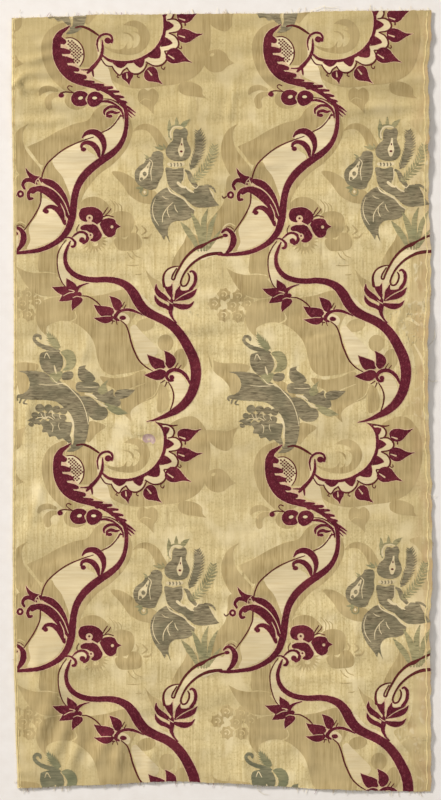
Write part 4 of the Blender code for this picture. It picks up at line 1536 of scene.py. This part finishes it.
class Nodes:
    """A few short words for building a node tree."""

    def __init__(self, name, roughness, sheen=0.0, metallic=0.0, specular=0.12):
        self.material = bpy.data.materials.new(name)
        self.material.use_nodes = True
        self.tree = self.material.node_tree
        self.shader = self.tree.nodes["Principled BSDF"]
        self.shader.inputs["Roughness"].default_value = roughness
        self.shader.inputs["Metallic"].default_value = metallic
        self.shader.inputs["Specular IOR Level"].default_value = specular
        self.shader.inputs["Sheen Weight"].default_value = sheen
        self.where = self.new("ShaderNodeTexCoord").outputs["Object"]

    def new(self, kind):
        return self.tree.nodes.new(kind)

    def link(self, output, socket):
        self.tree.links.new(output, socket)

    def product(self, first, second):
        """One socket times another, or times a number."""
        times = self.new("ShaderNodeMath")
        times.operation = "MULTIPLY"
        self.link(first, times.inputs[0])
        if isinstance(second, float):
            times.inputs[1].default_value = second
        else:
            self.link(second, times.inputs[1])
        return times.outputs[0]

    def along(self, axis, start, end):
        """Rises from 0 at start to 1 at end, both in metres along an axis of the cloth."""
        split = self.new("ShaderNodeSeparateXYZ")
        self.link(self.where, split.inputs[0])
        return self.ramp(split.outputs[axis], start, end)

    def noise(self, scale, stretch=(1, 1, 1), detail=2.0, shift=0.0):
        """A noise pattern whose grain is scale to the metre, stretched along the axes."""
        mapping = self.new("ShaderNodeMapping")
        mapping.inputs["Scale"].default_value = stretch
        mapping.inputs["Location"].default_value = (shift, shift, shift)
        self.link(self.where, mapping.inputs["Vector"])
        pattern = self.new("ShaderNodeTexNoise")
        pattern.inputs["Scale"].default_value = scale
        pattern.inputs["Detail"].default_value = detail
        self.link(mapping.outputs["Vector"], pattern.inputs["Vector"])
        return pattern.outputs["Fac"]

    def bands(self, pitch, axis="X", turn=0.0, distortion=0.0):
        """Soft ribs, pitch mm apart, across the given axis."""
        mapping = self.new("ShaderNodeMapping")
        mapping.inputs["Rotation"].default_value = (0, 0, math.radians(turn))
        self.link(self.where, mapping.inputs["Vector"])
        wave = self.new("ShaderNodeTexWave")
        wave.wave_type = "BANDS"
        wave.bands_direction = axis
        wave.inputs["Scale"].default_value = math.pi / 10 / (pitch * MM)
        wave.inputs["Distortion"].default_value = distortion
        wave.inputs["Detail"].default_value = 1.0
        wave.inputs["Detail Scale"].default_value = 2.0
        self.link(mapping.outputs["Vector"], wave.inputs["Vector"])
        return wave.outputs["Fac"]

    def ramp(self, factor, low, high):
        """Stretches a pattern so that low gives 0 and high gives 1."""
        spread = self.new("ShaderNodeMapRange")
        spread.inputs["From Min"].default_value = low
        spread.inputs["From Max"].default_value = high
        self.link(factor, spread.inputs["Value"])
        return spread.outputs["Result"]

    def blend(self, factor, first, second, amount=None):
        """Mixes two colours, each a socket or a colour, by a pattern."""
        mix = self.new("ShaderNodeMix")
        mix.data_type = "RGBA"
        if amount is not None:
            factor = self.product(factor, amount)
        self.link(factor, mix.inputs[0])
        for value, socket in ((first, mix.inputs[6]), (second, mix.inputs[7])):
            if isinstance(value, tuple):
                socket.default_value = value
            else:
                self.link(value, socket)
        return mix.outputs[2]

    def bump(self, *layers):
        """Adds up bumps, each (height pattern, depth in mm)."""
        normal = None
        for height, depth in layers:
            bump = self.new("ShaderNodeBump")
            bump.inputs["Strength"].default_value = 1.0
            bump.inputs["Distance"].default_value = depth * MM
            self.link(height, bump.inputs["Height"])
            if normal is not None:
                self.link(normal, bump.inputs["Normal"])
            normal = bump.outputs["Normal"]
        self.link(normal, self.shader.inputs["Normal"])

    def colour(self, socket):
        self.link(socket, self.shader.inputs["Base Color"])


def soil_and_painted_shade(nodes, base, dirt_and_shade, strength):
    """Dust and fading in patches, painted shade in soft bars, darker towards the lower left, rust
    at the right edge.
    """
    patches = nodes.ramp(nodes.noise(5.5, detail=3.0), 0.42, 0.66)
    clouded = nodes.blend(patches, base, dirt_and_shade, strength)
    # painted shade: soft darker bars across the cloth, standing in for the cockles' shading
    painted_shade_bars = nodes.ramp(nodes.noise(17, (0.3, 1, 1), 2.0, shift=20.0), 0.46, 0.70)
    clouded = nodes.blend(painted_shade_bars, clouded, dirt_and_shade, strength * 0.7)
    # darker towards the lower left
    corner = nodes.product(nodes.along("Y", -0.10, -0.50), nodes.along("X", 0.10, -0.27))
    darker_lower_left = nodes.blend(corner, clouded, dirt_and_shade, strength * 1.3)
    rust = nodes.ramp(nodes.noise(38, (1.6, 0.7, 1), 3.0, shift=3.0), 0.35, 0.62)
    edge_rust = nodes.product(nodes.along("X", 0.235, 0.266), rust)
    return nodes.blend(edge_rust, darker_lower_left, tone(186, 152, 112), 0.65)


def ground_material():
    """Pale yellow ribbed ground: warp streaks, slubs, flecks and slits, with painted shade towards
    the head.
    """
    nodes = Nodes("silk_ground", 0.72, sheen=0.05)
    streaks = nodes.noise(420, (1, 0.045, 1), 3.0)
    base = nodes.blend(nodes.ramp(streaks, 0.3, 0.7), tone(202, 180, 126), tone(234, 216, 164))
    slubs = nodes.noise(330, (0.22, 1, 1), 2.0, shift=1.0)
    base = nodes.blend(nodes.ramp(slubs, 0.50, 0.75), base, tone(198, 176, 122), 0.45)
    fleck = nodes.ramp(nodes.noise(460, (1, 0.8, 1), 2.0), 0.52, 0.70)
    base = nodes.blend(fleck, base, tone(176, 152, 98), 0.55)
    bright = nodes.ramp(nodes.noise(34, (1, 0.6, 1), 4.0, shift=14.0), 0.50, 0.66)
    base = nodes.blend(bright, base, tone(246, 229, 184), 0.65)
    slits = nodes.ramp(nodes.noise(170, (1, 0.10, 1), 3.0, shift=31.0), 0.66, 0.76)
    base = nodes.blend(slits, base, tone(150, 124, 80), 0.55)
    # painted shade: the ground is darkened towards the head
    base = nodes.blend(nodes.along("Y", 0.18, 0.42), base, tone(176, 154, 100), 0.42)
    nodes.colour(soil_and_painted_shade(nodes, base, tone(184, 164, 116), 0.45))
    nodes.bump((nodes.bands(0.75, "Y"), 0.05), (nodes.bands(0.5, "X"), 0.03), (streaks, 0.08))
    return nodes.material


def damask_material():
    """The tan self-figure, in a smoother satin with clear warp streaks."""
    nodes = Nodes("silk_damask", 0.66, sheen=0.05, specular=0.15)
    streaks = nodes.noise(520, (1, 0.04, 1), 3.0, shift=2.0)
    base = nodes.blend(nodes.ramp(streaks, 0.28, 0.72), tone(162, 139, 90), tone(203, 181, 131))
    wide = nodes.ramp(nodes.noise(40, (1, 0.4, 1), 4.0, shift=5.0), 0.46, 0.62)
    base = nodes.blend(wide, base, tone(206, 184, 134), 0.5)
    slits = nodes.ramp(nodes.noise(190, (1, 0.08, 1), 3.0, shift=33.0), 0.64, 0.74)
    base = nodes.blend(slits, base, tone(130, 106, 64), 0.5)
    base = nodes.blend(nodes.along("Y", 0.05, 0.40), base, tone(158, 136, 88), 0.38)
    nodes.colour(soil_and_painted_shade(nodes, base, tone(156, 136, 92), 0.22))
    nodes.bump((nodes.bands(0.5, "X"), 0.04), (streaks, 0.07))
    return nodes.material


def worn_material():
    """Ground and damask rubbed together down the right-hand side, with pale loosened wefts."""
    nodes = Nodes("silk_worn", 0.7, sheen=0.05)
    streaks = nodes.noise(440, (1, 0.05, 1), 3.0, shift=41.0)
    base = nodes.blend(nodes.ramp(streaks, 0.3, 0.7), tone(180, 158, 108), tone(212, 192, 142))
    patches = nodes.ramp(nodes.noise(26, (1, 0.8, 1), 4.0, shift=42.0), 0.44, 0.60)
    base = nodes.blend(patches, base, tone(218, 198, 148), 0.75)
    squiggles = nodes.ramp(nodes.noise(120, (1, 0.7, 1), 5.0, shift=43.0), 0.56, 0.66)
    base = nodes.blend(squiggles, base, tone(236, 222, 182), 0.6)
    brown = nodes.ramp(nodes.noise(90, (1, 0.5, 1), 4.0, shift=44.0), 0.60, 0.70)
    base = nodes.blend(brown, base, tone(166, 134, 88), 0.5)
    nodes.colour(soil_and_painted_shade(nodes, base, tone(176, 156, 108), 0.3))
    nodes.bump((streaks, 0.08), (squiggles, 0.08))
    return nodes.material


def lilac_material():
    """Lilac silk showing through a rubbed place."""
    nodes = Nodes("silk_lilac", 0.7, sheen=0.05)
    grain = nodes.noise(320, (1, 0.5, 1), 2.0, shift=45.0)
    nodes.colour(nodes.blend(nodes.ramp(grain, 0.3, 0.7), tone(176, 146, 138), tone(214, 188, 176)))
    nodes.bump((grain, 0.06))
    return nodes.material


def ivory_material():
    """White silk weft, lying smooth across the cloth."""
    nodes = Nodes("silk_ivory", 0.64, sheen=0.05, specular=0.15)
    streaks = nodes.noise(420, (0.06, 1, 1), 3.0, shift=4.0)
    base = nodes.blend(nodes.ramp(streaks, 0.3, 0.7), tone(222, 201, 156), tone(238, 221, 180))
    nodes.colour(soil_and_painted_shade(nodes, base, tone(200, 180, 134), 0.5))
    nodes.bump((nodes.bands(0.6, "Y", distortion=0.5), 0.07), (streaks, 0.06))
    return nodes.material


def blush_material():
    """The pinkish margin where crimson weft shows through at its turning."""
    nodes = Nodes("silk_blush", 0.7, sheen=0.05)
    grain = nodes.noise(700, (0.5, 1, 1), 2.0, shift=6.0)
    base = nodes.blend(nodes.ramp(grain, 0.3, 0.7), tone(204, 168, 132), tone(226, 196, 160))
    nodes.colour(base)
    nodes.bump((nodes.bands(0.6, "Y"), 0.06))
    return nodes.material


def crimson_material():
    """Crimson silk: faint slanting ribs with dark and pale flecks, and broad rubbed places."""
    nodes = Nodes("silk_crimson", 0.68, sheen=0.02, specular=0.10)
    twill = nodes.bands(1.5, "X", turn=38.0, distortion=2.5)
    base = nodes.blend(nodes.ramp(twill, 0.15, 0.85), tone(78, 20, 34), tone(106, 32, 46))
    deep = nodes.ramp(nodes.noise(300, (0.8, 1, 1), 3.0, shift=3.0), 0.50, 0.66)
    base = nodes.blend(deep, base, tone(62, 12, 24), 0.45)
    cross = nodes.ramp(nodes.noise(520, (1, 0.7, 1), 2.0), 0.54, 0.68)
    base = nodes.blend(cross, base, tone(156, 82, 88), 0.35)
    rubbed = nodes.ramp(nodes.noise(24, detail=4.0, shift=7.0), 0.5, 0.74)
    base = nodes.blend(rubbed, base, tone(132, 56, 62), 0.40)
    nodes.colour(base)
    nodes.bump((twill, 0.10), (nodes.bands(0.55, "Y"), 0.05))
    return nodes.material


def outline_material():
    """The thin lines, where crimson and brown silk mix."""
    nodes = Nodes("silk_outline", 0.68, sheen=0.02)
    grain = nodes.noise(600, (1, 1, 1), 2.0, shift=8.0)
    nodes.colour(nodes.blend(nodes.ramp(grain, 0.3, 0.7), tone(72, 24, 26), tone(108, 46, 42)))
    nodes.bump((nodes.bands(0.55, "Y"), 0.06))
    return nodes.material


def metal_thread_material(name, dark, middle, light, tint, tint_amount):
    """Tarnished metal thread couched in ribs across the cloth, with dull dark gaps between."""
    nodes = Nodes(name, 0.62, metallic=0.08, specular=0.15)
    ribs = nodes.bands(1.6, "Y", distortion=1.4)
    threads = nodes.noise(560, (0.16, 1, 1), 4.0, shift=9.0)
    base = nodes.blend(nodes.ramp(threads, 0.3, 0.7), tone(*middle), tone(*light))
    base = nodes.blend(nodes.ramp(ribs, 0.45, 0.0), base, tone(*dark), 0.55)
    broken = nodes.ramp(nodes.noise(330, (0.35, 1.4, 1), 4.0, shift=11.0), 0.54, 0.66)
    base = nodes.blend(broken, base, tone(*dark), 0.55)
    tarnish = nodes.ramp(nodes.noise(34, detail=3.0, shift=12.0), 0.48, 0.62)
    base = nodes.blend(tarnish, base, tone(*tint), tint_amount)
    base = nodes.blend(nodes.along("Y", -0.40, -0.46), base, tone(112, 118, 92), 0.5)
    nodes.colour(base)
    nodes.bump((ribs, 0.16), (threads, 0.10))
    return nodes.material


def silver_material():
    """The grey metal thread of the bouquet and the trunk."""
    return metal_thread_material(
        "metal_thread", (66, 58, 42), (122, 109, 84), (180, 166, 130), (100, 97, 74), 0.45
    )


def sage_material():
    """The paler green-grey thread beside it."""
    return metal_thread_material(
        "sage_thread", (98, 94, 64), (152, 143, 102), (190, 178, 132), (118, 122, 90), 0.45
    )


def selvedge_material():
    """Bright yellow edge cords, spotted with old rust."""
    nodes = Nodes("silk_selvedge", 0.7, sheen=0.05)
    cords = nodes.bands(1.1, "X", distortion=0.4)
    base = nodes.blend(nodes.ramp(cords, 0.2, 0.8), tone(220, 196, 136), tone(240, 222, 168))
    spots = nodes.ramp(nodes.noise(140, detail=3.0), 0.54, 0.70)
    nodes.colour(nodes.blend(spots, base, tone(176, 142, 92), 0.5))
    nodes.bump((cords, 0.14))
    return nodes.material


def thread_material(name, colour, other):
    """Loose silk thread, a little uneven along its length."""
    nodes = Nodes(name, 0.7, sheen=0.05)
    nodes.colour(nodes.blend(nodes.noise(700, detail=1.0), tone(*colour), tone(*other)))
    nodes.bump((nodes.bands(0.4, "Y", turn=25.0), 0.04))
    return nodes.material


def floor_material():
    """A pale padded board: plain, with the faintest grain."""
    nodes = Nodes("pale_floor", 0.9, specular=0.1)
    weave = nodes.noise(60, (1, 1, 1), 3.0)
    nodes.colour(nodes.blend(nodes.ramp(weave, 0.3, 0.7), tone(232, 226, 219), tone(237, 232, 226)))
    return nodes.material


# ------------------------------------------------------------------ stage


def make_stage():
    """Floor, camera straight above, and a soft light from the upper left."""
    mesh = bpy.data.meshes.new("floor")
    reach, level = 4.0, -0.0004
    corners = [(x * reach, y * reach, level) for x, y in ((-1, -1), (1, -1), (1, 1), (-1, 1))]
    mesh.from_pydata(corners, [], [(0, 1, 2, 3)])
    mesh.materials.append(floor_material())
    floor = bpy.data.objects.new("floor", mesh)
    bpy.context.scene.collection.objects.link(floor)
    floor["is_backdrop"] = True

    camera_data = bpy.data.cameras.new("camera")
    camera_data.lens = 100.0
    camera = bpy.data.objects.new("camera", camera_data)
    framed = 1.0184  # metres of table that the long side of the frame takes in
    over_x, over_y = -0.0022, 0.0014
    camera.location = (over_x, over_y, framed * camera_data.lens / camera_data.sensor_width)
    bpy.context.scene.collection.objects.link(camera)
    bpy.context.scene.camera = camera

    for name, place, power, size in (
        ("key_light", (-4.9, 3.7, 2.5), 610.0, 1.1),
        ("fill_light", (1.6, -0.9, 2.4), 6.0, 2.2),
        ("top_light", (0.3, -0.7, 3.4), 14.0, 2.6),
    ):
        lamp = bpy.data.lights.new(name, "AREA")
        lamp.energy, lamp.size = power, size
        lamp.color = (1.0, 0.972, 0.955)
        light = bpy.data.objects.new(name, lamp)
        light.location = place
        light.rotation_euler = (-Vector(place)).to_track_quat("-Z", "Y").to_euler()
        bpy.context.scene.collection.objects.link(light)

    world = bpy.data.worlds.new("soft_room")
    world.use_nodes = True
    background = world.node_tree.nodes["Background"]
    background.inputs["Color"].default_value = (1.0, 0.985, 0.96, 1.0)
    background.inputs["Strength"].default_value = 0.37
    bpy.context.scene.world = world
    bpy.context.scene.view_settings.view_transform = "Standard"


# ------------------------------------------------------------------ the whole


def main():
    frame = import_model()
    cad_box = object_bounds()
    node = frame["nodes"]["panel"]
    outline = cloth_outline(node)
    lie = ClothLie(node)
    laid = laid_outlines(outline)
    places, faces, colours = shared_triangulation(outline, laid, GRID_STEP)
    heights = lie.height(places)
    plain_places, plain_faces, _ = shared_triangulation(outline, [], CORE_STEP)

    ground = ground_material()
    sheet = ground_sheet(plain_places, plain_faces, lie.height(plain_places), ground)
    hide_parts("panel")
    # the ground weave has a wall only at the cloth's rim: elsewhere it meets the other colours
    bare = faces[colours == "ground"]
    cloth_rim = set(rim_edges(faces))
    bare_rim = [edge for edge in rim_edges(bare) if edge in cloth_rim]
    layers = [colour_layer("weft_ground", places, bare, heights, 0.0, ground, bare_rim)]
    makers = {
        "damask": damask_material, "worn": worn_material, "lilac": lilac_material,
        "blush": blush_material, "ivory": ivory_material,
        "silver": silver_material, "sage": sage_material, "crimson": crimson_material,
        "outline": outline_material, "selvedge": selvedge_material,
    }
    for colour, maker in makers.items():
        chosen = faces[colours == colour]
        lift, rim = LAYER_HEIGHT[colour], rim_edges(chosen)
        layers.append(colour_layer(f"weft_{colour}", places, chosen, heights, lift, maker(), rim))

    rng = random.Random(THREAD_SEED)
    pale, red, tan = edge_threads(outline, lie, rng)
    ends = loose_ends()
    bundles = (
        ("fray_pale", pale + ends, THREAD_RADIUS, "pale_thread", (226, 212, 168), (240, 230, 200)),
        ("fray_crimson", red, THREAD_RADIUS, "red_thread", (110, 40, 50), (140, 70, 76)),
        ("fray_tan", tan, THREAD_RADIUS, "tan_thread", (186, 160, 112), (206, 184, 136)),
        ("worn_floats", worn_threads(lie, laid, rng), FLOAT_RADIUS,
         "worn_thread", (204, 198, 158), (222, 212, 174)),
    )
    for name, paths, radius, look, colour, other in bundles:
        layers.append(thread_bundle(name, paths, radius, thread_material(look, colour, other)))
    make_stage()
    [[list(map(float, corner)) for corner in box] for box in (cad_box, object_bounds())]


main()
